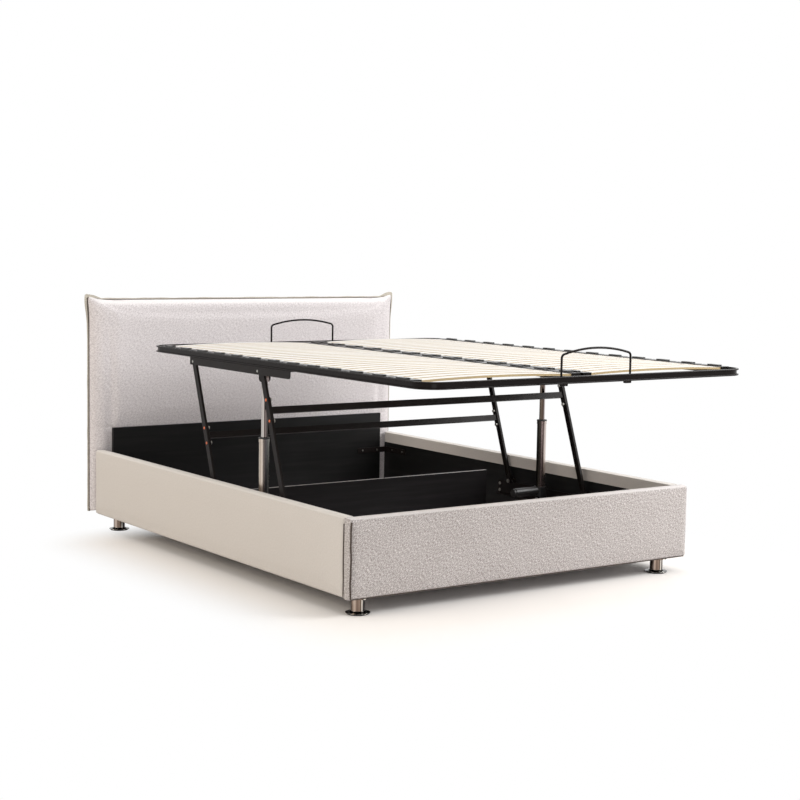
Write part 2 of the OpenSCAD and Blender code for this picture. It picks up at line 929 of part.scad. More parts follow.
module left_lead_screw() {
    color("#8b8a87") on_left() lead_screw();
}

module right_lead_screw() {
    color("#8b8a87") on_right() lead_screw();
}

module left_push_rod() {
    color("#d5d0c8") on_left() push_rod();
}

module right_push_rod() {
    color("#d5d0c8") on_right() push_rod();
}

// Brackets under the platform that take the push rods' eyes, with stub pins in their ears

module actuator_bracket() {
    half = foot_ear_inner + ear_t;
    translate([actuator_x, actuator_from_foot, 0]) {
        centred_box(0, 0, platform_low, [2 * half, 2 * ear_r, sheet_t]);
        for (side = [0, 1]) mirror([side, 0, 0]) {
            slab_x(foot_ear_inner, ear_t) translate([0, head_pin_h]) {
                circle(r = ear_r);
                translate([-ear_r, 0]) square([2 * ear_r, bracket_drop]);
            }
            bar_x(half - overrun, 0, head_pin_h, pin_head_t + overrun, pin_head_d);
        }
    }
}

module actuator_brackets() {
    color("#1f1c1c") on_both() actuator_bracket();
}

// Control box on the left rail, inside the storage box
control_l = 170;
control_h = 62;
control_t = 44;
control_from_head = 520;
socket_d = 14;

module control_box() {
    y = base_l - control_from_head;
    color("#2a2929") on_left() difference() {
        translate([inner_x - control_t, y, plate_low]) cube([control_t, control_l, control_h]);
        for (i = [1 : 3])
            bar_y(inner_x - control_t / 2, y - overrun, plate_low + control_h * i / 4,
                  socket_d / 2 + overrun, socket_d * 3 / 4);
    }
}

// Platform

rim_lip_r = 3;
rim_recess = 7;
rim_ledge_in = 22;

module rim_ring(outer_inset, inner_inset) {
    difference() {
        rounded_rect(platform_w - 2 * outer_inset, platform_l - 2 * outer_inset,
                     rim_r - outer_inset);
        rounded_rect(platform_w - 2 * inner_inset, platform_l - 2 * inner_inset,
                     rim_r - inner_inset);
    }
}

// A round bead that runs along the rim's outline
module rim_bead(z) {
    x = platform_w / 2 - rim_lip_r;
    y = platform_l / 2 - rim_lip_r;
    corner_x = platform_w / 2 - rim_r;
    corner_y = platform_l / 2 - rim_r;
    for (side = [-1, 1]) {
        bar_y(side * x, -corner_y, z, 2 * corner_y, 2 * rim_lip_r);
        bar_x(-corner_x, side * y, z, 2 * corner_x, 2 * rim_lip_r);
    }
    for (turn = [0 : 3])
        translate([corner_x * (turn == 0 || turn == 3 ? 1 : -1),
                   corner_y * (turn < 2 ? 1 : -1), z])
            rotate([0, 0, 90 * turn]) rotate_extrude(angle = 90)
                translate([rim_r - rim_lip_r, 0]) circle(r = rim_lip_r);
}

module at_platform() {
    translate([0, platform_from_foot + platform_l / 2, platform_low]) children();
}

module platform_rim() {
    color("#1b1919") difference() {
        placed() at_platform() rim_body();
        on_both() for (i = [0 : channel_bolt_count - 1])
            translate([channel_bolt_x, channel_bolt_y(i), platform_low - overrun])
                cylinder(h = sheet_t + 2 * overrun, d = bolt_d + 2 * screw_gap);
    }
}

module rim_body() {
    linear_extrude(sheet_t) rim_ring(rim_lip_r, rim_w);
    linear_extrude(rim_h) rim_ring(rim_recess, rim_recess + sheet_t);
    translate([0, 0, rim_ledge_h - sheet_t]) linear_extrude(sheet_t)
        rim_ring(rim_recess, rim_ledge_in);
    translate([0, 0, rim_h - sheet_t]) linear_extrude(sheet_t)
        rim_ring(rim_lip_r, rim_recess + sheet_t);
    rim_bead(rim_lip_r);
    rim_bead(rim_h - rim_lip_r);
}

centre_tube_w = 30;
centre_gap = 6;
tube_sheet = 2;

module box_tube_y(x, y, z, size) {
    difference() {
        translate([x, y, z]) cube(size);
        translate([x + tube_sheet, y - overrun, z + tube_sheet])
            cube([size.x - 2 * tube_sheet, size.y + 2 * overrun, size.z - 2 * tube_sheet]);
    }
}

module centre_rails() {
    l = platform_l - 2 * (rim_w + seat_gap);
    color("#1b1919") placed() at_platform()
        for (side = [0, 1]) mirror([side, 0, 0])
            box_tube_y(centre_gap / 2, -l / 2, 0, [centre_tube_w, l, rim_ledge_h]);
}

member_w = 40;
member_h = rim_ledge_h - sheet_t;

module cross_member(y) {
    x0 = centre_gap / 2 + centre_tube_w + seat_gap;
    x1 = platform_w / 2 - rim_ledge_in - seat_gap;
    translate([x0, y - member_w / 2, platform_low + sheet_t])
        difference() {
            cube([x1 - x0, member_w, member_h]);
            translate([-overrun, tube_sheet, tube_sheet])
                cube([x1 - x0 + 2 * overrun, member_w - 2 * tube_sheet,
                      member_h - 2 * tube_sheet]);
        }
}

module cross_members() {
    color("#1b1919") on_both() {
        cross_member(actuator_from_foot);
        cross_member(rear_pivot_from_foot + arm_reach);
    }
}

// Slats, two in each plastic holder
slats_from_end = 86;
holder_pitch = (platform_l - 2 * slats_from_end) / slat_pairs;
slat_gap = 17;
holder_w = 40;
holder_wall = 3;
holder_floor = 2;
holder_l = 2 * slat_w + slat_gap + 2 * holder_wall;
holder_block_l = 56;
holder_block_w = 20;
holder_block_h = 4;
slat_play = 2.4;
slat_end_in = 6;
side_holder_x = platform_w / 2 - rim_recess - sheet_t - seat_gap - holder_w;
centre_holder_x = centre_gap / 2 + holder_wall;
slat_x0 = centre_holder_x + slat_end_in;
slat_x1 = side_holder_x + holder_w - slat_end_in;
slat_l = slat_x1 - slat_x0;
slat_low = rim_ledge_top + seat_gap + holder_floor + seat_gap;
slat_bow_r = (pow(slat_l / 2, 2) + pow(slat_crown, 2)) / (2 * slat_crown);
slat_facets = 2400;

function holder_y(i) = platform_from_foot + platform_l / 2 + (i - (slat_pairs - 1) / 2) * holder_pitch;

module slat_section() {
    intersection() {
        translate([slat_x0, slat_low]) square([slat_l, slat_t + slat_crown + overrun]);
        translate([(slat_x0 + slat_x1) / 2, slat_low + slat_crown - slat_bow_r]) difference() {
            circle(r = slat_bow_r + slat_t, $fn = slat_facets);
            circle(r = slat_bow_r, $fn = slat_facets);
        }
    }
}

module bay_slats() {
    for (i = [0 : slat_pairs - 1], s = [-1, 1])
        slab_y(holder_y(i) + s * (slat_w + slat_gap) / 2 - slat_w / 2, slat_w) slat_section();
}

module left_slats() {
    color("#f2ead6") on_left() bay_slats();
}

module right_slats() {
    color("#f2ead6") on_right() bay_slats();
}

// A holder with its open ends towards +X, its closed end at the origin and a raised block there
module slat_holder() {
    pocket_h = slat_t + slat_play;
    pocket_w = slat_w + 2 * seat_gap;
    body_h = 2 * holder_floor + pocket_h;
    difference() {
        union() {
            translate([0, -holder_l / 2, 0]) cube([holder_w, holder_l, body_h]);
            translate([0, -holder_block_l / 2, 0])
                cube([holder_block_w, holder_block_l, body_h + holder_block_h]);
        }
        for (s = [-1, 1])
            translate([slat_end_in - seat_gap, s * (slat_w + slat_gap) / 2 - pocket_w / 2,
                       holder_floor])
                cube([holder_w, pocket_w, pocket_h]);
    }
}

module side_slat_holders() {
    color("#232222") on_both()
        for (i = [0 : slat_pairs - 1])
            translate([side_holder_x + holder_w, holder_y(i), rim_ledge_top + seat_gap])
                mirror([1, 0, 0]) slat_holder();
}

module centre_slat_holders() {
    color("#232222") on_both()
        for (i = [0 : slat_pairs - 1])
            translate([centre_holder_x, holder_y(i), rim_ledge_top + seat_gap]) slat_holder();
}

// Lift channels: a web outside the arms and a flange under the rim
channel_foot_l = 238;
channel_head_l = 22;
channel_foot_y = front_pivot_from_foot + arm_reach - channel_foot_l;
channel_head_y = rear_pivot_from_foot + arm_reach + channel_head_l;
channel_flange_w = 29;
channel_notch_r = 12;
channel_bolt_count = 4;
channel_bolt_share = 0.6;
channel_bolt_x = web_x - channel_flange_w * channel_bolt_share;

function channel_bolt_y(i) =
    channel_foot_y + (channel_head_y - channel_foot_y) * (i + 1 / 2) / channel_bolt_count;

module channel_outline() {
    z = platform_low - channel_h;
    difference() {
        translate([channel_foot_y, z]) square([channel_head_y - channel_foot_y, channel_h]);
        difference() {
            translate([channel_foot_y - overrun, z - overrun])
                square([channel_notch_r + overrun, channel_notch_r + overrun]);
            translate([channel_foot_y + channel_notch_r, z + channel_notch_r])
                circle(r = channel_notch_r);
        }
        for (y = [front_pivot_from_foot, rear_pivot_from_foot])
            translate([y + arm_reach, pivot_h + arm_rise]) circle(d = pin_d + 2 * screw_gap);
    }
}

module lift_channel() {
    slab_x(web_x - sheet_t, sheet_t) channel_outline();
    difference() {
        translate([web_x - channel_flange_w, channel_foot_y, platform_low - sheet_t])
            cube([channel_flange_w, channel_head_y - channel_foot_y, sheet_t]);
        for (i = [0 : channel_bolt_count - 1])
            translate([channel_bolt_x, channel_bolt_y(i), platform_low - sheet_t - overrun])
                cylinder(h = sheet_t + 2 * overrun, d = bolt_d + 2 * screw_gap);
    }
}

module left_lift_channel() {
    color("#211e1e") on_left() lift_channel();
}

module right_lift_channel() {
    color("#211e1e") on_right() lift_channel();
}

module channel_bolts() {
    color("#8b8a87") on_both()
        for (i = [0 : channel_bolt_count - 1])
            translate([channel_bolt_x, channel_bolt_y(i), platform_low - sheet_t]) {
                translate([0, 0, -bolt_head_t]) cylinder(h = bolt_head_t, d = bolt_head_d);
                cylinder(h = 2 * sheet_t, d = bolt_d);
            }
}

// Mattress bails: bent wire loops at the middle of the foot and head edges, whose legs stand
// on the rim's ledge and rise this far above its upper edge
bail_leg_rise = 62;
bail_leg_h = bail_leg_rise + rim_h - rim_ledge_h;
bail_slope = 14.2;
bail_shoulder_r = 14;
bail_shoulder_l = 6;
bail_foot_l = 26;
bail_in = 15;
bail_sides = 12;

// Points [x, z, heading] along a bend about x, z, from the angle a0 to a1
function bend_points(x, z, r, a0, a1, n) = [
    for (i = [0 : n])
        let (a = a0 + (a1 - a0) * i / n)
        [x + r * cos(a), z + r * sin(a), a + 90]
];

// The wire's middle line: foot, leg, shoulder, a shallow arch, and the same again down
function bail_path() =
    let (
        half = bail_w / 2,
        s = bail_shoulder_r,
        bend = bail_d,
        foot_x = half - bend - bail_foot_l,
        foot_z = bail_d / 2,
        arch_x = half - s + s * sin(bail_slope) - bail_shoulder_l * cos(bail_slope),
        arch_z = bail_leg_h + s * cos(bail_slope) + bail_shoulder_l * sin(bail_slope)
    )
    concat(
        [[foot_x, foot_z, 0]],
        bend_points(half - bend, foot_z + bend, bend, -90, 0, 5),
        bend_points(half - s, bail_leg_h, s, 0, 90 - bail_slope, 5),
        bend_points(0, arch_z - arch_x / tan(bail_slope), arch_x / sin(bail_slope),
                    90 - bail_slope, 90 + bail_slope, 14),
        bend_points(s - half, bail_leg_h, s, 90 + bail_slope, 180, 5),
        bend_points(bend - half, foot_z + bend, bend, 180, 270, 5),
        [[-foot_x, foot_z, 360]]
    );

module bail() {
    path = bail_path();
    n = bail_sides;
    last = len(path) - 1;
    points = [
        for (p = path, k = [0 : n - 1])
            let (out = bail_d / 2 * cos(360 * k / n))
            [p.x - out * sin(p[2]), bail_d / 2 * sin(360 * k / n), p.y + out * cos(p[2])]
    ];
    sides = [
        for (i = [0 : last - 1], k = [0 : n - 1])
            let (a = i * n + k, b = i * n + (k + 1) % n)
            each [[a, a + n, b], [b, a + n, b + n]]
    ];
    ends = [
        [for (k = [0 : n - 1]) k],
        [for (k = [n - 1 : -1 : 0]) last * n + k]
    ];
    polyhedron(points = points, faces = concat(sides, ends));
}

module head_bail() {
    color("#1b1919") placed()
        translate([0, platform_from_foot + platform_l - bail_in, rim_ledge_top + seat_gap]) bail();
}

module foot_bail() {
    color("#1b1919") placed()
        translate([0, platform_from_foot + bail_in, rim_ledge_top + seat_gap]) bail();
}

left_rail_board();
right_rail_board();
footboard_board();
left_rail_cover();
right_rail_cover();
footboard_cover();
headboard_core();
headboard_pad();
headboard_back();
head_panel();
foot_floor_panel();
head_floor_panel();
floor_ledges();
divider();
corner_brackets();
corner_bracket_screws();
front_left_foot();
front_right_foot();
rear_left_foot();
rear_right_foot();
foot_glides();
left_base_plate();
right_base_plate();
base_plate_bolts();
base_pivot_pins();
actuator_foot_pins();
control_box();
front_left_arm();
front_right_arm();
front_crossbar();
front_crossbar_bolts();
rear_left_arm();
rear_right_arm();
rear_crossbar();
rear_crossbar_bolts();
platform_rim();
centre_rails();
cross_members();
left_slats();
right_slats();
side_slat_holders();
centre_slat_holders();
left_lift_channel();
right_lift_channel();
channel_bolts();
top_pivot_pins();
actuator_brackets();
head_bail();
foot_bail();
left_gearbox();
left_motor();
left_housing_tube();
left_lead_screw();
left_push_rod();
right_gearbox();
right_motor();
right_housing_tube();
right_lead_screw();
right_push_rod();
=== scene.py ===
"""Powered storage bed, dressed for its portrait.

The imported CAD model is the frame. The upholstery of the rails, the footboard and the headboard
takes the place of the plain solids, small fittings are added to the steelwork, and every visible
piece gets a finish made from shader nodes. Lengths are in metres, in the frame of the CAD model:
X to the bed's right, Y from the foot to the headboard, Z up.
"""

import logging
import math
from collections.abc import Callable, Sequence
from dataclasses import dataclass
from enum import Enum

import bpy
import numpy as np
from mathutils import Matrix, Vector


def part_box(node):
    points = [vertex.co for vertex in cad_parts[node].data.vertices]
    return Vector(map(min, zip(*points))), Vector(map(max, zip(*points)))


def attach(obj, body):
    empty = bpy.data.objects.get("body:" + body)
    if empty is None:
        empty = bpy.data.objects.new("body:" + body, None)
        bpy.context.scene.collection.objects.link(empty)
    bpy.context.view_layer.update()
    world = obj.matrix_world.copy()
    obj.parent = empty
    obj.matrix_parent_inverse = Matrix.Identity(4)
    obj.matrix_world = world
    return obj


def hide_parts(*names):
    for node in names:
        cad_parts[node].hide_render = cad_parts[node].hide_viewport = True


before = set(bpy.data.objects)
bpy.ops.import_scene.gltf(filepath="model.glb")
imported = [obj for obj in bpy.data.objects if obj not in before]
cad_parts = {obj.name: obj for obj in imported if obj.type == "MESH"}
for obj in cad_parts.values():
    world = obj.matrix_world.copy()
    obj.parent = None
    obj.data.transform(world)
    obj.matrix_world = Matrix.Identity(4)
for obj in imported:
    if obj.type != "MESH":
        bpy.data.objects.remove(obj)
LOG = logging.getLogger("bed")
MM = 0.001
X, Y, Z = range(3)

Point = tuple[float, float, float]
Shade = tuple[int, int, int]
Colour = tuple[float, float, float, float]


class Body(Enum):
    """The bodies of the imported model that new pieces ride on."""

    BASE = "base"
    FRONT_ARMS = "front_arms"
    REAR_ARMS = "rear_arms"
    PLATFORM = "platform"
    LEFT_ACTUATOR = "left_actuator"
    RIGHT_ACTUATOR = "right_actuator"


# Shader nodes


class NodeBench:
    """Adds and joins nodes in one shader node tree."""

    def __init__(self, tree: bpy.types.NodeTree) -> None:
        """Keeps the tree.

        Args:
            tree: The node tree of a material, a world or a node group.
        """
        self.tree = tree

    def add(self, kind: str, **settings: object) -> bpy.types.Node:
        """Adds a node.

        Args:
            kind: The node's type, without its ShaderNode prefix.
            settings: Properties of the node by name.

        Returns:
            The new node.
        """
        node = self.tree.nodes.new("ShaderNode" + kind)
        for name, value in settings.items():
            setattr(node, name, value)
        return node

    def feed(self, socket: bpy.types.NodeSocket, value: object) -> None:
        """Joins a socket to another, or sets its value.

        Args:
            socket: The input to fill.
            value: An output socket, a number, or a colour or vector.
        """
        if isinstance(value, bpy.types.NodeSocket):
            self.tree.links.new(value, socket)
        else:
            socket.default_value = value

    def math(self, operation: str, *values: object) -> bpy.types.NodeSocket:
        """Adds a Math node and returns its result."""
        node = self.add("Math", operation=operation)
        for socket, value in zip(node.inputs, values):
            self.feed(socket, value)
        return node.outputs[0]

    def ease(self, value: object, low: float, high: float) -> bpy.types.NodeSocket:
        """Maps a value smoothly to 0 at low and 1 at high.

        Args:
            value: The value to map.
            low: Where the result is 0.
            high: Where the result is 1.

        Returns:
            The mapped value.
        """
        node = self.add("MapRange", interpolation_type="SMOOTHSTEP")
        self.feed(node.inputs["Value"], value)
        node.inputs["From Min"].default_value = low
        node.inputs["From Max"].default_value = high
        return node.outputs[0]

    def span(self, value: object, low: float, high: float) -> bpy.types.NodeSocket:
        """Maps a value from 0 to 1 onto low to high."""
        node = self.add("MapRange")
        self.feed(node.inputs["Value"], value)
        node.inputs["To Min"].default_value = low
        node.inputs["To Max"].default_value = high
        return node.outputs[0]

    def mix(self, share: object, first: object, second: object) -> bpy.types.NodeSocket:
        """Mixes two colours.

        Args:
            share: How much of the second shows, from 0 to 1.
            first: A colour, or a socket that gives one.
            second: The same for the other.

        Returns:
            The mixed colour.
        """
        node = self.add("Mix", data_type="RGBA")
        self.feed(node.inputs[0], share)
        self.feed(node.inputs[6], first)
        self.feed(node.inputs[7], second)
        return node.outputs[2]

    def stretched(self, vector: object, scale: Sequence[float]) -> bpy.types.NodeSocket:
        """Multiplies a vector by a scale along each axis."""
        node = self.add("VectorMath", operation="MULTIPLY")
        self.feed(node.inputs[0], vector)
        node.inputs[1].default_value = tuple(scale)
        return node.outputs[0]

    def noise(self, vector: object, scale: float, detail: float = 2.0) -> bpy.types.NodeSocket:
        """Adds a noise texture.

        Args:
            vector: Where the texture is read.
            scale: Patches to the metre.
            detail: How many finer layers are added.

        Returns:
            The noise's value.
        """
        node = self.add("TexNoise")
        self.feed(node.inputs["Vector"], vector)
        node.inputs["Scale"].default_value = scale
        node.inputs["Detail"].default_value = detail
        return node.outputs["Fac"]

    def parts(self, vector: object) -> tuple[bpy.types.NodeSocket, ...]:
        """Splits a vector into its X, Y and Z."""
        node = self.add("SeparateXYZ")
        self.feed(node.inputs[0], vector)
        return tuple(node.outputs)

    def bump(self, height: object, depth: float, strength: float = 1.0,
             normal: object = None) -> bpy.types.NodeSocket:
        """Adds a Bump node.

        Args:
            height: The height map, from 0 to 1.
            depth: How high 1 stands, in metres.
            strength: The share of the bump that shows.
            normal: The normal to start from, if not the surface's own.

        Returns:
            The bumped normal.
        """
        node = self.add("Bump")
        node.inputs["Strength"].default_value = strength
        node.inputs["Distance"].default_value = depth
        self.feed(node.inputs["Height"], height)
        if normal is not None:
            self.feed(node.inputs["Normal"], normal)
        return node.outputs[0]

    def surface(self, shader: bpy.types.Node, colour: object, rough: object,
                normal: object) -> None:
        """Joins a colour, a roughness and a normal to a Principled shader."""
        for name, value in (("Base Color", colour), ("Roughness", rough), ("Normal", normal)):
            self.feed(shader.inputs[name], value)


class Effect(Enum):
    """Surface effects that several finishes share, each a node group built once."""

    WEAVE = "woven threads"
    SOFT_EDGE = "rounded edges"


class EffectShelf:
    """Builds the node groups of the effects and places them in materials."""

    def __init__(self) -> None:
        """Starts with no group built."""
        self.groups: dict[Effect, bpy.types.NodeTree] = {}

    def place(self, bench: NodeBench, effect: Effect, **values: object) -> bpy.types.Node:
        """Places an effect in a material.

        Args:
            bench: The material's node bench.
            effect: Which effect.
            values: What its inputs get, by name with underscores for spaces.

        Returns:
            The group node.
        """
        if effect not in self.groups:
            build = {Effect.WEAVE: self.build_weave,
                     Effect.SOFT_EDGE: self.build_soft_edge}[effect]
            self.groups[effect] = build()
        node = bench.add("Group", node_tree=self.groups[effect])
        for name, value in values.items():
            bench.feed(node.inputs[name.replace("_", " ")], value)
        return node

    @staticmethod
    def new_group(effect: Effect, inputs: dict[str, str],
                  outputs: dict[str, str]) -> tuple[NodeBench, bpy.types.Node, bpy.types.Node]:
        """Makes an empty node group.

        Args:
            effect: The effect that names it.
            inputs: Socket names with their kinds, such as Float or Vector.
            outputs: The same for what it puts out.

        Returns:
            The group's bench, its input node and its output node.
        """
        group = bpy.data.node_groups.new(effect.value, "ShaderNodeTree")
        for names, side in ((inputs, "INPUT"), (outputs, "OUTPUT")):
            for name, kind in names.items():
                group.interface.new_socket(name, in_out=side, socket_type="NodeSocket" + kind)
        bench = NodeBench(group)
        source = group.nodes.new("NodeGroupInput")
        sink = group.nodes.new("NodeGroupOutput")
        return bench, source, sink

    def build_weave(self) -> bpy.types.NodeTree:
        """Builds a plain weave with thick and thin places in its threads.

        Returns:
            A group that takes a flat Vector in metres and the Threads to a metre, and gives
            the surface's Height, masks for Pale and Deep flecks and a soft Blotch.
        """
        bench, source, sink = self.new_group(
            Effect.WEAVE, {"Vector": "Vector", "Threads": "Float"},
            {"Height": "Float", "Pale": "Float", "Deep": "Float", "Blotch": "Float"})
        scaled = bench.add("VectorMath", operation="SCALE")
        bench.feed(scaled.inputs[0], source.outputs["Vector"])
        bench.feed(scaled.inputs["Scale"], source.outputs["Threads"])
        across, up, _ = bench.parts(scaled.outputs[0])
        warp = bench.math("SINE", bench.math("MULTIPLY", across, math.pi))
        weft = bench.math("SINE", bench.math("MULTIPLY", up, math.pi))
        crossing = bench.math("MULTIPLY", warp, weft)
        vector = source.outputs["Vector"]
        turned = bench.add("VectorRotate", rotation_type="Z_AXIS")
        bench.feed(turned.inputs["Vector"], vector)
        turned.inputs["Angle"].default_value = math.radians(-40)
        twill = bench.noise(bench.stretched(turned.outputs[0], (120, 360, 1)), 1.0, 1.0)
        specks = bench.noise(bench.stretched(vector, (420, 420, 1)), 1.0, 2.0)
        flecks = bench.math("MULTIPLY", bench.math("ADD", twill, specks), 0.5)
        bench.feed(sink.inputs["Height"],
                   bench.math("ADD", bench.math("MULTIPLY", crossing, 0.3), flecks))
        bench.feed(sink.inputs["Pale"], bench.ease(flecks, 0.5, 0.6))
        bench.feed(sink.inputs["Deep"], bench.ease(flecks, 0.5, 0.4))
        bench.feed(sink.inputs["Blotch"], bench.noise(vector, 7.0, 3.0))
        return bench.tree

    def build_soft_edge(self) -> bpy.types.NodeTree:
        """Builds rounded edges for sharp CAD solids.

        Returns:
            A group that takes nothing, and gives the rounded Normal and an Edge mask.
        """
        bench, _, sink = self.new_group(Effect.SOFT_EDGE, {},
                                        {"Normal": "Vector", "Edge": "Float"})
        bevel = bench.add("Bevel", samples=4)
        bevel.inputs["Radius"].default_value = 1.2 * MM
        geometry = bench.add("NewGeometry")
        turn = bench.add("VectorMath", operation="DOT_PRODUCT")
        bench.feed(turn.inputs[0], bevel.outputs[0])
        bench.feed(turn.inputs[1], geometry.outputs["Normal"])
        bench.feed(sink.inputs["Normal"], bevel.outputs[0])
        bench.feed(sink.inputs["Edge"], bench.ease(turn.outputs["Value"], 0.98, 0.75))
        return bench.tree


EFFECTS = EffectShelf()


# Finishes


@dataclass(frozen=True)
class Finish:
    """A finish that materials are made from, one for each name."""

    name: str

    def material(self) -> bpy.types.Material:
        """Returns the finish's material, made when it is first asked for."""
        known = bpy.data.materials.get(self.name)
        if known is not None:
            return known
        made = bpy.data.materials.new(self.name)
        made.use_nodes = True
        bench = NodeBench(made.node_tree)
        shader = made.node_tree.nodes["Principled BSDF"]
        self.dress(bench, shader)
        return made

    def dress(self, bench: NodeBench, shader: bpy.types.Node) -> None:
        """Joins the finish's nodes to the shader.

        Args:
            bench: The material's node bench.
            shader: Its Principled BSDF.
        """
        raise NotImplementedError


def linear(shade: Shade) -> Colour:
    """Turns a colour as it looks on screen, each part from 0 to 255, into light values.

    Args:
        shade: Its red, green and blue.

    Returns:
        The light values, by the standard screen curve, and full cover.
    """
    offset, curve, knee, slope = 0.055, 2.4, 0.04045, 12.92
    parts = [part / 255 for part in shade]
    light = [((part + offset) / (1 + offset)) ** curve if part > knee else part / slope
             for part in parts]
    return (*light, 1.0)


@dataclass(frozen=True)
class Cloth(Finish):
    """Woven upholstery cloth with flecks, read from the piece's own UV map in metres.

    Cloth that faces up gets painted light: its colour is mixed towards the pale shade the more it
    faces up.
    """

    colour: Shade
    # light is the shade of the pale flecks and of the painted light on faces that look up
    light: Shade
    dark: Shade
    flecks: float = 0.5
    fineness: float = 1.0
    threads: float = 420.0
    relief: float = 1.2 * MM
    sheen: float = 0.15

    def dress(self, bench: NodeBench, shader: bpy.types.Node) -> None:
        """See Finish.dress."""
        colour, light, dark = (linear(shade) for shade in (self.colour, self.light, self.dark))
        fine = self.fineness
        flat = bench.stretched(bench.add("UVMap", uv_map="cloth").outputs[0], (fine, fine, 1))
        weave = EFFECTS.place(bench, Effect.WEAVE, Vector=flat, Threads=self.threads)
        faded = bench.math("MULTIPLY", weave.outputs["Blotch"], 0.5 * self.flecks)
        colour = bench.mix(faded, colour, dark)
        for mask, shade in (("Pale", light), ("Deep", dark)):
            colour = bench.mix(bench.math("MULTIPLY", weave.outputs[mask], self.flecks),
                               colour, shade)
        # Painted light: faces that look up are mixed towards the pale shade, as if lit from
        # above.
        slope = bench.parts(bench.add("NewGeometry").outputs["Normal"])[Z]
        stretched = bench.math("MULTIPLY", bench.ease(slope, 0.35, 0.95), 0.85)
        bench.surface(shader, bench.mix(stretched, colour, light),
                      bench.span(weave.outputs["Pale"], 0.94, 0.82),
                      bench.bump(weave.outputs["Height"], self.relief, 0.35 + 0.5 * self.flecks))
        shader.inputs["Specular IOR Level"].default_value = 0.15
        shader.inputs["Sheen Weight"].default_value = self.sheen
        shader.inputs["Sheen Roughness"].default_value = 0.45


@dataclass(frozen=True)
class PowderCoat(Finish):
    """Black powder coat on steel, with a fine orange peel and edges rubbed a little grey."""

    colour: Shade
    rubbed: Shade
    gloss: float = 0.36
    shine: float = 0.09

    def dress(self, bench: NodeBench, shader: bpy.types.Node) -> None:
        """See Finish.dress."""
        place = bench.add("TexCoord").outputs["Object"]
        edge = EFFECTS.place(bench, Effect.SOFT_EDGE)
        peel = bench.noise(place, 900.0, 1.0)
        dust = bench.noise(place, 14.0, 4.0)
        wear = bench.math("MULTIPLY", edge.outputs["Edge"], bench.ease(dust, 0.4, 0.65))
        shader.inputs["Specular IOR Level"].default_value = self.shine
        bench.surface(shader, bench.mix(wear, linear(self.colour), linear(self.rubbed)),
                      bench.span(dust, self.gloss - 0.06, self.gloss + 0.1),
                      bench.bump(peel, 0.2 * MM, 0.2, edge.outputs["Normal"]))


@dataclass(frozen=True)
class BoardFoil(Finish):
    """Foil pressed on board, satin, with faint streaks."""

    colour: Shade
    bright: Shade
    gloss: float = 0.3
    shine: float = 0.2

    def dress(self, bench: NodeBench, shader: bpy.types.Node) -> None:
        """See Finish.dress."""
        place = bench.add("TexCoord").outputs["Object"]
        edge = EFFECTS.place(bench, Effect.SOFT_EDGE)
        streak = bench.noise(bench.stretched(place, (3, 3, 60)), 1.0, 3.0)
        smudge = bench.noise(place, 6.0, 3.0)
        grit = bench.noise(place, 500.0, 1.0)
        shader.inputs["Specular IOR Level"].default_value = self.shine
        bench.surface(shader, bench.mix(bench.ease(streak, 0.4, 0.8), linear(self.colour),
                                        linear(self.bright)),
                      bench.span(smudge, self.gloss - 0.05, self.gloss + 0.12),
                      bench.bump(grit, 0.15 * MM, 0.25, edge.outputs["Normal"]))


@dataclass(frozen=True)
class BareMetal(Finish):
    """Bare or plated metal, clouded, with a fine brushing."""

    colour: Shade
    gloss: float
    brushing: float
    clouded_share: float = 0.72

    def dress(self, bench: NodeBench, shader: bpy.types.Node) -> None:
        """See Finish.dress."""
        place = bench.add("TexCoord").outputs["Object"]
        edge = EFFECTS.place(bench, Effect.SOFT_EDGE)
        lines = bench.noise(place, self.brushing, 2.0)
        cloud = bench.noise(place, 25.0, 3.0)
        bright = linear(self.colour)
        clouded = (*(part * self.clouded_share for part in bright[:3]), 1)
        shader.inputs["Metallic"].default_value = 1.0
        bench.surface(shader, bench.mix(bench.ease(cloud, 0.35, 0.8), bright, clouded),
                      bench.span(lines, self.gloss - 0.05, self.gloss + 0.1),
                      bench.bump(lines, 0.05 * MM, 0.3, edge.outputs["Normal"]))


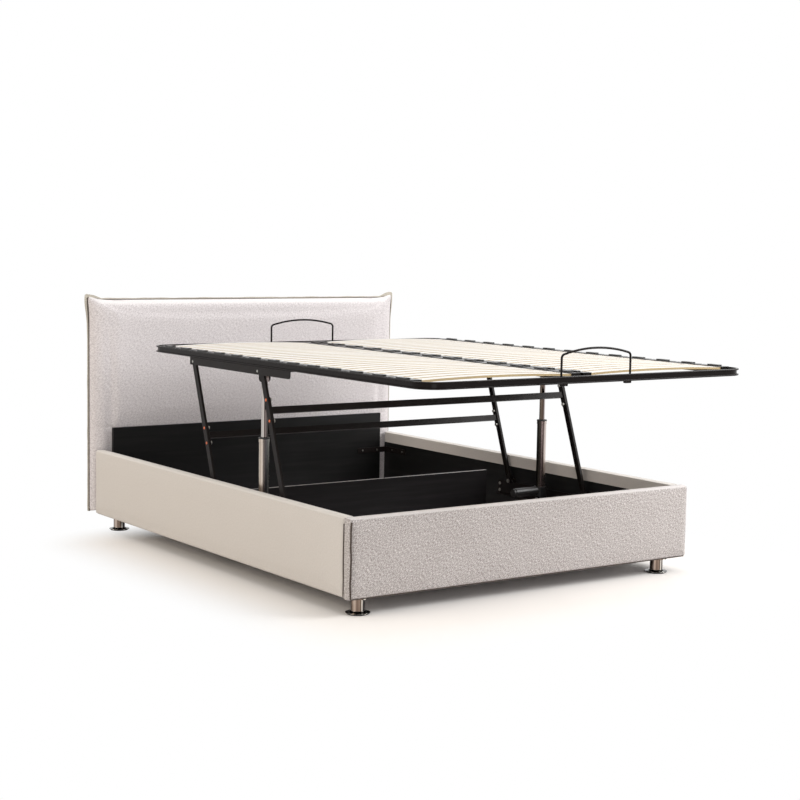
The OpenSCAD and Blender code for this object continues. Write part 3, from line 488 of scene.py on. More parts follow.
@dataclass(frozen=True)
class BandedTube(Finish):
    """Bright drawn tube standing upright, with light and dark stripes round it that paint its
    reflections.

    Each band is an angle round the tube in degrees and the colour of the painted reflection
    there. Below disc_height the metal is near black, with painted glints.
    """

    reflection_bands: tuple[tuple[int, Shade], ...]
    gloss: float
    disc_height: float = 0.0
    disc: Shade = (25, 24, 22)
    glint: Shade = (203, 200, 194)

    def dress(self, bench: NodeBench, shader: bpy.types.Node) -> None:
        """See Finish.dress."""
        spots = bench.add("TexCoord")
        across, along, _ = bench.parts(spots.outputs["Normal"])
        turn = bench.math("DIVIDE", bench.math("ARCTAN2", along, across), 2 * math.pi)
        # Painted reflections: the colour is read off the way the surface faces round the tube, so
        # light and dark stripes stay fixed to it.
        ramp = bench.add("ValToRGB")
        bench.feed(ramp.inputs[0], bench.math("FRACT", turn))
        stops = ramp.color_ramp.elements
        stops.remove(stops[1])
        for k, (angle, shade) in enumerate(self.reflection_bands):
            stop = stops[0] if k == 0 else stops.new(angle / 360)
            stop.position = angle / 360
            stop.color = linear(shade)
        edge = EFFECTS.place(bench, Effect.SOFT_EDGE)
        # Painted glints on the near black part below disc_height: at the edges and where the
        # painted stripes are brightest.
        height = bench.parts(spots.outputs["Object"])[Z]
        low = bench.ease(height, self.disc_height + MM, self.disc_height)
        level = bench.add("RGBToBW")
        bench.feed(level.inputs[0], ramp.outputs[0])
        lit = bench.math("MAXIMUM", edge.outputs["Edge"],
                         bench.ease(level.outputs[0], 0.34, 0.42))
        glint = bench.mix(lit, linear(self.disc), linear(self.glint))
        shader.inputs["Metallic"].default_value = 1.0
        smear = bench.noise(bench.stretched(spots.outputs["Object"], (60, 60, 8)), 1.0, 2.0)
        bench.surface(shader, bench.mix(low, ramp.outputs[0], glint),
                      bench.span(smear, self.gloss - 0.06, self.gloss + 0.08),
                      bench.bump(smear, 0.05 * MM, 0.15, edge.outputs["Normal"]))


@dataclass(frozen=True)
class Moulding(Finish):
    """Moulded plastic or rubber with a fine leathery texture and paler edges."""

    colour: Shade
    gloss: float = 0.36
    texture: float = 0.3

    def dress(self, bench: NodeBench, shader: bpy.types.Node) -> None:
        """See Finish.dress."""
        place = bench.add("TexCoord").outputs["Object"]
        edge = EFFECTS.place(bench, Effect.SOFT_EDGE)
        texture = bench.noise(place, 1300.0, 2.0)
        cloud = bench.noise(place, 20.0, 2.0)
        plain = linear(self.colour)
        pale = (*(part * 1.8 + 0.004 for part in plain[:3]), 1)
        bench.surface(shader,
                      bench.mix(bench.math("MULTIPLY", edge.outputs["Edge"], 0.6), plain, pale),
                      bench.span(cloud, self.gloss - 0.05, self.gloss + 0.08),
                      bench.bump(texture, 0.2 * MM, self.texture, edge.outputs["Normal"]))


@dataclass(frozen=True)
class BentPly(Finish):
    """Pale bent ply, grained along X: a cream film on the faces, layered honey edges."""

    film: Shade = (239, 235, 230)
    grain: Shade = (227, 220, 208)
    edge: Shade = (198, 178, 138)
    glue: Shade = (158, 132, 90)
    layers: float = 2300.0

    def dress(self, bench: NodeBench, shader: bpy.types.Node) -> None:
        """See Finish.dress."""
        place = bench.add("TexCoord").outputs["Object"]
        streaks = bench.noise(bench.stretched(place, (1.6, 38, 38)), 1.0, 3.0)
        pores = bench.noise(bench.stretched(place, (18, 700, 700)), 1.0, 1.0)
        grain = bench.ease(streaks, 0.35, 0.7)
        normal = bench.parts(bench.add("NewGeometry").outputs["True Normal"])
        face = bench.ease(bench.math("ABSOLUTE", normal[Z]), 0.5, 0.8)
        layer = bench.math("SINE", bench.math("MULTIPLY", bench.parts(place)[Z], self.layers))
        top = bench.mix(bench.math("MULTIPLY", grain, 0.4), linear(self.film),
                        linear(self.grain))
        side = bench.mix(bench.ease(layer, 0.0, 0.9), linear(self.edge), linear(self.glue))
        bench.surface(shader, bench.mix(face, side, top), bench.span(grain, 0.42, 0.55),
                      bench.bump(pores, 0.15 * MM, 0.3))


@dataclass(frozen=True)
class RawBoard(Finish):
    """Raw chipboard with pressed chips, or a stained timber strip."""

    colour: Shade
    chip: Shade

    def dress(self, bench: NodeBench, shader: bpy.types.Node) -> None:
        """See Finish.dress."""
        place = bench.add("TexCoord").outputs["Object"]
        chips = bench.noise(bench.stretched(place, (160, 160, 300)), 1.0, 3.0)
        shade = bench.mix(bench.ease(chips, 0.35, 0.65), linear(self.colour), linear(self.chip))
        bench.surface(shader, shade, 0.8, bench.bump(chips, 0.4 * MM, 0.4))


RAIL_CLOTH = Cloth("rail cloth", (205, 199, 193), (232, 227, 221), (180, 173, 166), 0.16)
FOOT_CLOTH = Cloth("footboard cloth", (186, 180, 178), (230, 225, 223), (132, 122, 118), 0.8)
HEAD_CLOTH = Cloth("headboard cloth", (222, 216, 217), (246, 242, 241), (168, 160, 160), 0.5,
                   fineness=0.75)
BACK_CLOTH = Cloth("back cloth", (178, 172, 168), (196, 190, 186), (150, 143, 138), 0.4)
FLANGE_CLOTH = Cloth("flange cloth", (196, 189, 176), (226, 221, 212), (140, 132, 120), 0.3)
# The seam cords are real seams whose dark colour paints the shade in their grooves and in the
# joint between the covers.
SHADED_SEAM_CORD = Cloth("seam cord", (78, 69, 64), (106, 95, 88), (50, 43, 40), 0.5)
BLACK_STEEL = PowderCoat("black powder coat", (27, 23, 22), (66, 60, 57))
FRAME_STEEL = PowderCoat("frame powder coat", (26, 21, 20), (80, 74, 72), gloss=0.15)
BLACK_BOARD = BoardFoil("black board foil", (22, 22, 22), (30, 29, 29))
FLOOR_BOARD = BoardFoil("floor board foil", (162, 158, 160), (176, 172, 174), 0.4, 0.4)
DIVIDER_BOARD = BoardFoil("divider foil", (30, 28, 29), (40, 38, 39))
EDGE_BAND = BoardFoil("edge band", (168, 164, 162), (196, 192, 190))
LEDGE_WOOD = RawBoard("stained strip", (38, 35, 34), (52, 48, 45))
CORE_BOARD = RawBoard("raw chipboard", (149, 124, 93), (173, 151, 118))
# Painted reflections: the bands of these tubes and rods paint the reflections of their
# surroundings, and the chrome feet's discs carry painted glints.
CHROME = BandedTube(
    "polished chrome",
    ((145, (60, 48, 42)), (176, (96, 82, 74)), (188, (146, 130, 120)), (206, (188, 172, 160)),
     (216, (176, 158, 146)), (228, (112, 96, 86)), (252, (142, 124, 112)), (262, (60, 50, 42)),
     (269, (216, 212, 204)), (276, (210, 205, 198)), (282, (36, 33, 36)), (300, (60, 56, 58)),
     (325, (130, 122, 116))), gloss=0.1, disc_height=12 * MM)
LEFT_TUBE = BandedTube(
    "anodised tube, left",
    ((145, (186, 180, 168)), (200, (176, 162, 149)), (213, (208, 194, 182)),
     (226, (186, 174, 163)), (233, (92, 82, 77)), (262, (92, 88, 90)), (280, (104, 103, 101)),
     (293, (160, 160, 156)), (325, (150, 148, 144))), gloss=0.24)
RIGHT_TUBE = BandedTube(
    "anodised tube, right",
    ((145, (66, 64, 60)), (198, (62, 58, 52)), (211, (94, 88, 80)), (220, (72, 62, 59)),
     (230, (130, 114, 112)), (256, (104, 88, 84)), (266, (188, 174, 168)),
     (288, (206, 194, 188)), (325, (245, 240, 236))), gloss=0.24)
LEFT_ROD_STEEL = BandedTube(
    "polished rod, left",
    ((145, (180, 174, 170)), (225, (184, 178, 173)), (232, (206, 196, 190)),
     (238, (98, 86, 80)), (252, (70, 60, 55)), (264, (142, 130, 128)), (280, (94, 85, 82)),
     (325, (60, 55, 52))), gloss=0.14)
RIGHT_ROD_STEEL = BandedTube(
    "polished rod, right",
    ((145, (78, 68, 60)), (205, (118, 105, 94)), (235, (74, 60, 52)), (265, (112, 98, 92)),
     (288, (208, 199, 198)), (325, (212, 204, 202))), gloss=0.14)
ZINC = BareMetal("zinc plate", (176, 174, 168), 0.32, 300.0)
BRASS = BareMetal("brass rivet", (226, 120, 78), 0.28, 500.0)
RUBBER = Moulding("glide rubber", (30, 30, 30), 0.7, 0.5)
BLACK_PLASTIC = Moulding("drive plastic", (36, 35, 35))
HOLDER_PLASTIC = Moulding("holder plastic", (24, 22, 21), 0.2, 0.07)
SLAT_PLY = BentPly("bent ply")

CAD_FINISHES: dict[Finish, tuple[str, ...]] = {
    BLACK_BOARD: ("left_rail_board", "right_rail_board", "footboard_board", "head_panel"),
    DIVIDER_BOARD: ("divider",),
    FLOOR_BOARD: ("foot_floor_panel", "head_floor_panel"),
    CORE_BOARD: ("headboard_core",),
    LEDGE_WOOD: ("floor_ledges",),
    CHROME: ("front_left_foot", "front_right_foot", "rear_left_foot", "rear_right_foot"),
    RUBBER: ("foot_glides",),
    BLACK_STEEL: ("corner_brackets", "left_base_plate", "right_base_plate", "front_left_arm",
                  "front_right_arm", "front_crossbar", "rear_left_arm", "rear_right_arm",
                  "rear_crossbar", "left_lift_channel", "right_lift_channel",
                  "actuator_brackets"),
    FRAME_STEEL: ("platform_rim", "centre_rails", "cross_members", "head_bail", "foot_bail"),
    ZINC: ("corner_bracket_screws", "base_plate_bolts", "base_pivot_pins",
           "actuator_foot_pins", "front_crossbar_bolts", "rear_crossbar_bolts",
           "channel_bolts", "top_pivot_pins", "left_lead_screw", "right_lead_screw"),
    BLACK_PLASTIC: ("control_box", "left_gearbox", "right_gearbox", "left_motor",
                    "right_motor"),
    LEFT_TUBE: ("left_housing_tube",),
    RIGHT_TUBE: ("right_housing_tube",),
    LEFT_ROD_STEEL: ("left_push_rod",),
    RIGHT_ROD_STEEL: ("right_push_rod",),
    SLAT_PLY: ("left_slats", "right_slats"),
    HOLDER_PLASTIC: ("side_slat_holders", "centre_slat_holders"),
}


def dress_cad() -> None:
    """Gives every CAD node that stays in view its finish."""
    for finish, names in CAD_FINISHES.items():
        for name in names:
            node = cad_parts[name]
            node.data.materials.clear()
            node.data.materials.append(finish.material())


# Mesh tools


def corners(node: str) -> tuple[Vector, Vector]:
    """Returns the lowest and the highest corner of a CAD node's box."""
    low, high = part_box(node)
    return Vector(low), Vector(high)


def both_at(axis: int, level: float, *ends: Vector) -> bool:
    """Says whether an edge's ends both lie at a level along an axis."""
    return all(abs(end[axis] - level) < MM for end in ends)


def runs_along(axis: int, first: Vector, second: Vector) -> bool:
    """Says whether an edge covers some way along an axis."""
    return abs(first[axis] - second[axis]) > MM


def deselect() -> None:
    """Deselects every object."""
    bpy.ops.object.select_all(action="DESELECT")


def pick(piece: bpy.types.Object) -> None:
    """Makes a piece the only one selected, and the active one."""
    deselect()
    piece.select_set(True)
    bpy.context.view_layer.objects.active = piece


def coordinates(piece: bpy.types.Object) -> np.ndarray:
    """Returns the piece's vertices as rows of X, Y and Z."""
    places = np.empty(len(piece.data.vertices) * 3)
    piece.data.vertices.foreach_get("co", places)
    return places.reshape(-1, 3)


def move_to(piece: bpy.types.Object, places: np.ndarray) -> None:
    """Puts the piece's vertices where the rows say."""
    piece.data.vertices.foreach_set("co", places.ravel())
    piece.data.update()


def block(name: str, low: Sequence[float], high: Sequence[float]) -> bpy.types.Object:
    """Adds a block between two corners.

    Args:
        name: The new piece's name.
        low: Its lowest corner.
        high: Its highest corner.

    Returns:
        The block, with its place in its mesh.
    """
    deselect()
    centre = [(a + b) / 2 for a, b in zip(low, high)]
    bpy.ops.mesh.primitive_cube_add(size=1, location=centre)
    piece = bpy.context.active_object
    piece.scale = [b - a for a, b in zip(low, high)]
    piece.name = name
    pick(piece)
    bpy.ops.object.transform_apply(location=True, rotation=True, scale=True)
    return piece


def apply_modifier(piece: bpy.types.Object, kind: str, **settings: object) -> None:
    """Adds a modifier and applies it.

    Args:
        piece: The piece that gets it.
        kind: The modifier's type.
        settings: Its properties by name.
    """
    pick(piece)
    modifier = piece.modifiers.new(kind.lower(), kind)
    for name, value in settings.items():
        setattr(modifier, name, value)
    bpy.ops.object.modifier_apply(modifier=modifier.name)


def round_edges(piece: bpy.types.Object, radius: float,
                chosen: Callable[[Vector, Vector], bool], segments: int = 5) -> None:
    """Bevels the edges that a rule picks.

    Args:
        piece: The piece to bevel.
        radius: The bevel's width.
        chosen: Says from an edge's two ends whether it is bevelled.
        segments: How many faces the bevel has.
    """
    pick(piece)
    mesh = piece.data
    bpy.ops.object.mode_set(mode="EDIT")
    bpy.ops.mesh.select_mode(type="EDGE")
    bpy.ops.mesh.select_all(action="DESELECT")
    bpy.ops.object.mode_set(mode="OBJECT")
    for edge in mesh.edges:
        a, b = (mesh.vertices[k].co for k in edge.vertices)
        edge.select = chosen(a, b)
    bpy.ops.object.mode_set(mode="EDIT")
    bpy.ops.mesh.bevel(offset=radius, offset_type="OFFSET", segments=segments, profile=0.5)
    bpy.ops.object.mode_set(mode="OBJECT")


def carve(piece: bpy.types.Object, low: Sequence[float], high: Sequence[float]) -> None:
    """Cuts a box-shaped space out of a piece.

    Args:
        piece: The piece to cut.
        low: The space's lowest corner.
        high: Its highest corner.
    """
    cutter = block("cutter", low, high)
    apply_modifier(piece, "BOOLEAN", operation="DIFFERENCE", object=cutter, solver="EXACT")
    bpy.data.objects.remove(cutter, do_unlink=True)


def smooth(piece: bpy.types.Object, angle: float = 40.0) -> None:
    """Shades a piece smooth, but for edges sharper than an angle in degrees."""
    pick(piece)
    bpy.ops.object.shade_smooth_by_angle(angle=math.radians(angle))


def unroll(piece: bpy.types.Object) -> None:
    """Gives a piece a UV map in metres, laid flat from the side that each face looks to."""
    mesh = piece.data
    layer = mesh.uv_layers.new(name="cloth")
    flat = np.empty((len(mesh.loops), 2))
    places = coordinates(piece)
    for face in mesh.polygons:
        normal = [abs(part) for part in face.normal]
        side = normal.index(max(normal))
        first, second = [k for k in range(3) if k != side]
        for corner in face.loop_indices:
            place = places[mesh.loops[corner].vertex_index]
            flat[corner] = place[first], place[second]
    layer.data.foreach_set("uv", flat.ravel())


def hand_over(piece: bpy.types.Object, name: str, body: Body, finish: Finish,
              replaced: Sequence[str] = ()) -> None:
    """Names and dresses a finished piece, hangs it on its body and hides the CAD nodes that it
    stands for.

    Args:
        piece: The finished piece.
        name: Its name.
        body: The body that it moves with.
        finish: What its surface is.
        replaced: The CAD nodes that it stands for.
    """
    piece.name = name
    piece.data.name = name
    piece.data.materials.clear()
    piece.data.materials.append(finish.material())
    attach(piece, body.value)
    if replaced:
        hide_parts(*replaced)
    LOG.info("%s: %d faces on %s", name, len(piece.data.polygons), body.value)


@dataclass(frozen=True)
class Station:
    """One place along a swept piece: where its ring stands and the ring's two directions."""

    origin: Vector
    side: Vector
    up: Vector


def swept(name: str, stations: Sequence[Station], ring: Sequence[tuple[float, float]],
          closed: bool = False) -> bpy.types.Object:
    """Sweeps a closed ring through stations, from a grid.

    Args:
        name: The new piece's name.
        stations: The places that the ring passes.
        ring: The ring's points, as distances along each station's side and up.
        closed: Whether the last station joins the first.

    Returns:
        The swept piece, its ends filled if it has any.
    """
    deselect()
    across = len(ring)
    along = len(stations) - (0 if closed else 1)
    bpy.ops.mesh.primitive_grid_add(x_subdivisions=across, y_subdivisions=along, size=2)
    piece = bpy.context.active_object
    piece.name = name
    grid = coordinates(piece)
    column = np.rint((grid[:, 0] + 1) / 2 * across).astype(int) % across
    row = np.rint((grid[:, 1] + 1) / 2 * along).astype(int) % len(stations)
    table = np.array([[spot.origin + spot.side * a + spot.up * b for a, b in ring]
                      for spot in stations])
    move_to(piece, table[row, column])
    pick(piece)
    bpy.ops.object.mode_set(mode="EDIT")
    bpy.ops.mesh.select_all(action="SELECT")
    bpy.ops.mesh.remove_doubles(threshold=0.001 * MM)
    bpy.ops.mesh.fill_holes(sides=0)
    bpy.ops.mesh.normals_make_consistent(inside=False)
    bpy.ops.object.mode_set(mode="OBJECT")
    return piece


def circle(width: float, count: int = 8) -> list[tuple[float, float]]:
    """Returns the points of a round ring of that width."""
    turns = [2 * math.pi * k / count for k in range(count)]
    return [(width / 2 * math.cos(turn), width / 2 * math.sin(turn)) for turn in turns]


def path_stations(points: Sequence[Vector], up: Vector) -> list[Station]:
    """Turns a run of points into stations whose sides stay square to the run and to up."""
    stations = []
    for k, point in enumerate(points):
        ahead = points[min(k + 1, len(points) - 1)] - points[max(k - 1, 0)]
        stations.append(Station(point, ahead.cross(up).normalized(), up))
    return stations


def bell(distance: np.ndarray, width: float) -> np.ndarray:
    """Returns 1 at distance 0, falling smoothly to nothing beyond a few widths."""
    return np.exp(-(distance / width) ** 2)


@dataclass(frozen=True)
class Dent:
    """A soft dent in padding: its width, its depth and how far from an edge it lies."""

    width: float
    depth: float
    inset: float = 0.0

    def at(self, distance: np.ndarray) -> np.ndarray:
        """Returns the dent's depth at distances from the edge."""
        return bell(distance - self.inset, self.width) * self.depth


def puff(piece: bpy.types.Object, held: np.ndarray, pressure: float, cap: float,
         frames: int = 15) -> None:
    """Blows a padded piece up as cloth, and keeps the result.

    Args:
        piece: The padded piece, with even faces.
        held: How firmly each vertex stays, from 0 to 1.
        pressure: The pressure inside.
        cap: The furthest that a point may move.
        frames: How many steps are run.
    """
    before = coordinates(piece)
    group = piece.vertex_groups.new(name="held")
    for level in np.unique(np.round(held, 1)):
        chosen = np.nonzero(np.round(held, 1) == level)[0]
        group.add([int(k) for k in chosen], float(level), "REPLACE")
    pick(piece)
    cloth = piece.modifiers.new("cloth", "CLOTH")
    settings = cloth.settings
    settings.quality = 4
    settings.mass = 0.3
    settings.tension_stiffness = 15
    settings.compression_stiffness = 15
    settings.bending_stiffness = 0.6
    settings.vertex_group_mass = "held"
    settings.use_pressure = True
    settings.uniform_pressure_force = pressure
    settings.effector_weights.gravity = 0
    cloth.point_cache.frame_start = 1
    cloth.point_cache.frame_end = frames
    for step in range(1, frames + 1):
        bpy.context.scene.frame_set(step)
    bpy.ops.object.modifier_apply(modifier=cloth.name)
    bpy.context.scene.frame_set(1)
    after = coordinates(piece)
    shift = after - before
    length = np.linalg.norm(shift, axis=1, keepdims=True)
    scale = np.minimum(1.0, cap / np.maximum(length, 1e-9))
    move_to(piece, before + shift * scale)
    piece.vertex_groups.clear()


# Upholstery


def rolled(distance: np.ndarray, radius: float, power: float = 2.2) -> np.ndarray:
    """Returns how far a cushion has risen at a distance from its edge, from 0 to 1.

    Args:
        distance: The distances from the edge.
        radius: How far in the cushion reaches its full depth.
        power: The roundness: 2 is a quarter circle, and more is squarer.

    Returns:
        The rise at each distance.
    """
    out = np.clip(1 - distance / radius, 0, 1)
    return (1 - out ** power) ** (1 / power)


def cord(name: str, points: Sequence[Vector], up: Vector, width: float,
         finish: Finish) -> None:
    """Lays a sewn cord along a run of points on the base.

    Args:
        name: The cord's name.
        points: Its middle line.
        up: A direction that the line never takes.
        width: How thick it is.
        finish: What its surface is.
    """
    piece = swept(name, path_stations(points, up), circle(width))
    smooth(piece, 60)
    unroll(piece)
    hand_over(piece, name, Body.BASE, finish)


@dataclass
class Upholstery:
    """The padded covers of the two rails and the footboard."""

    fold: float = 50 * MM
    edge_radius: float = 10 * MM
    end_radius: float = 4 * MM
    joint: float = 3 * MM
    joint_inset: float = 1.2 * MM
    voxel: float = 6 * MM
    air: float = 0.3 * MM
    swell: float = 2.5 * MM
    pressure: float = 4.0
    soft_depth: float = 8 * MM
    stitches: int = 40
    seam_dent: Dent = Dent(16 * MM, 4.5 * MM)
    end_dent: Dent = Dent(14 * MM, 2 * MM)
    ripple_dent: Dent = Dent(60 * MM, 1.2 * MM)
    ripple_length: float = 74 * MM
    ripple_start: float = 0.6
    pucker_dent: Dent = Dent(18 * MM, 3.5 * MM, 24 * MM)
    pucker_rise: float = 30 * MM

    def build(self) -> None:
        """Builds the three covers."""
        for side, name in ((-1, "left"), (1, "right")):
            self.rail(side, f"{name}_rail_cover", f"{name}_rail_board")
        self.footboard()

    def rail(self, side: int, node: str, board: str) -> None:
        """Builds one rail's cover round its board.

        Args:
            side: 1 for the right rail and -1 for the left.
            node: The CAD node that it stands for.
            board: The board that it covers.
        """
        low, high = corners(node)
        low.y += self.joint
        piece = block(node + "_cloth", low, high)
        outer = high.x if side > 0 else low.x
        round_edges(piece, self.edge_radius,
                    lambda a, b: both_at(X, outer, a, b) and runs_along(Y, a, b))
        round_edges(piece, self.end_radius,
                    lambda a, b: both_at(Y, low.y, a, b) and both_at(X, outer, a, b))
        self.soften(piece, lambda places: np.abs(places[:, X] - outer) > self.soft_depth)
        board_low, board_high = corners(board)
        carve(piece, board_low - Vector((self.air, 1, 1)),
              (board_high.x + self.air, high.y + 1, board_high.z + self.air))
        edge = board_low.x + MM if side > 0 else board_high.x - MM
        carve(piece, (min(edge, edge - side), low.y - 1, low.z - 1),
              (max(edge, edge - side), high.y + 1, high.z - self.fold))
        self.finish(piece, node, node + "_cloth", RAIL_CLOTH)

    def soften(self, piece: bpy.types.Object,
               firm: Callable[[np.ndarray], np.ndarray]) -> None:
        """Gives a cover even faces and a slight swell.

        Args:
            piece: The cover.
            firm: Says from the vertices' places which of them stay where they are.
        """
        apply_modifier(piece, "REMESH", mode="VOXEL", voxel_size=self.voxel)
        held = np.where(firm(coordinates(piece)), 1.0, 0.0)
        puff(piece, held, self.pressure, self.swell)

    def finish(self, piece: bpy.types.Object, node: str, name: str, cloth: Finish) -> None:
        """Shades a carved cover and hands it over as a padded piece.

        Args:
            piece: The cover.
            node: The CAD node that it stands for.
            name: The cover's name.
            cloth: Its cloth.
        """
        smooth(piece)
        unroll(piece)
        hand_over(piece, name, Body.BASE, cloth, [node])

    def footboard(self) -> None:
        """Builds the footboard's cover, drawn in at its left seam and at its ends."""
        low, high = corners("footboard_cover")
        piece = block("footboard_cloth", low, high + Vector((self.swell, 0, 0)))
        round_edges(piece, self.edge_radius,
                    lambda a, b: both_at(Y, low.y, a, b) and runs_along(X, a, b))
        round_edges(piece, self.end_radius, lambda a, b: runs_along(Z, a, b))
        self.soften(piece, lambda places: places[:, Y] > low.y + self.soft_depth + MM)
        places = coordinates(piece)
        places[:, Y] += self.footboard_dip(places, low, high)
        move_to(piece, places)
        board_low, board_high = corners("footboard_board")
        air = Vector((self.air, self.air, self.air))
        carve(piece, board_low - air - Vector((0, 0, 1)), board_high + air)
        carve(piece, board_low - air + Vector((0, board_high.y - board_low.y - MM, -1)),
              (board_high.x + self.air, high.y + 1, high.z - self.fold))
        self.finish(piece, "footboard_cover", "footboard_cloth", FOOT_CLOTH)
        self.seams(low, high)

    def footboard_dip(self, places: np.ndarray, low: Vector, high: Vector) -> np.ndarray:
        """Works out how far the footboard's front is drawn in.

        Args:
            places: The cover's vertices.
            low: The CAD cover's lowest corner.
            high: Its highest corner.

        Returns:
            The distance for each vertex: at the left seam, rippled along it, at the right end
            and in a pucker at the lower left corner.
        """
        front = np.clip((high.y - places[:, Y]) / (high.y - low.y), 0, 1) ** 2
        from_left = places[:, X] - low.x
        dip = self.seam_dent.at(from_left) + self.end_dent.at(high.x - places[:, X])
        ripple = np.sin(places[:, Z] * 2 * math.pi / self.ripple_length + self.ripple_start)
        dip += self.ripple_dent.at(from_left) * ripple
        dip += self.pucker_dent.at(from_left) * bell(places[:, Z] - low.z, self.pucker_rise)
        return dip * front

    def seams(self, low: Vector, high: Vector) -> None:
        """Sews the footboard's seams: up its left corner and along its lower edge, with dark
        cords whose colour paints the shade in the seams' grooves.

        Args:
            low: The cover's lowest corner.
            high: Its highest corner.
        """
        corner_x, corner_y = low.x + 3.4 * MM, low.y + 3.2 * MM
        joint_x, joint_y = low.x - 0.2 * MM, corners("left_rail_cover")[0].y + self.joint_inset
        hem_y, hem_z = low.y + 8 * MM, low.z + 1.2 * MM
        self.stitch("footboard_corner_seam", low.z + 5 * MM, high.z - 13 * MM, Y, 6.5 * MM,
                    lambda z: (corner_x + (math.sin(z * 41) * 1.1 + math.sin(z * 97) * 0.5) * MM,
                               corner_y, z))
        self.stitch("footboard_joint_seam", low.z + 6 * MM, high.z - 22 * MM, X, 4 * MM,
                    lambda z: (joint_x, joint_y + math.sin(z * 33 + 1) * 0.9 * MM, z))
        self.stitch("footboard_hem", low.x + 8 * MM, high.x - 6 * MM, Z, 4 * MM,
                    lambda x: (x, hem_y + math.sin(x * 23) * 0.4 * MM, hem_z))

    def stitch(self, name: str, start: float, end: float, up: int, width: float,
               place: Callable[[float], Point]) -> None:
        """Sews one seam's cord.

        Args:
            name: The cord's name.
            start: Where it starts along its own direction.
            end: Where it ends.
            up: An axis that it never runs along.
            width: How thick it is.
            place: Gives the cord's middle from a place along its direction.
        """
        spots = [start + (end - start) * k / self.stitches for k in range(self.stitches + 1)]
        square = Vector([float(axis == up) for axis in (X, Y, Z)])
        # The cord's dark colour paints the shade in the seam's groove.
        cord(name, [Vector(place(spot)) for spot in spots], square, width,
             SHADED_SEAM_CORD)


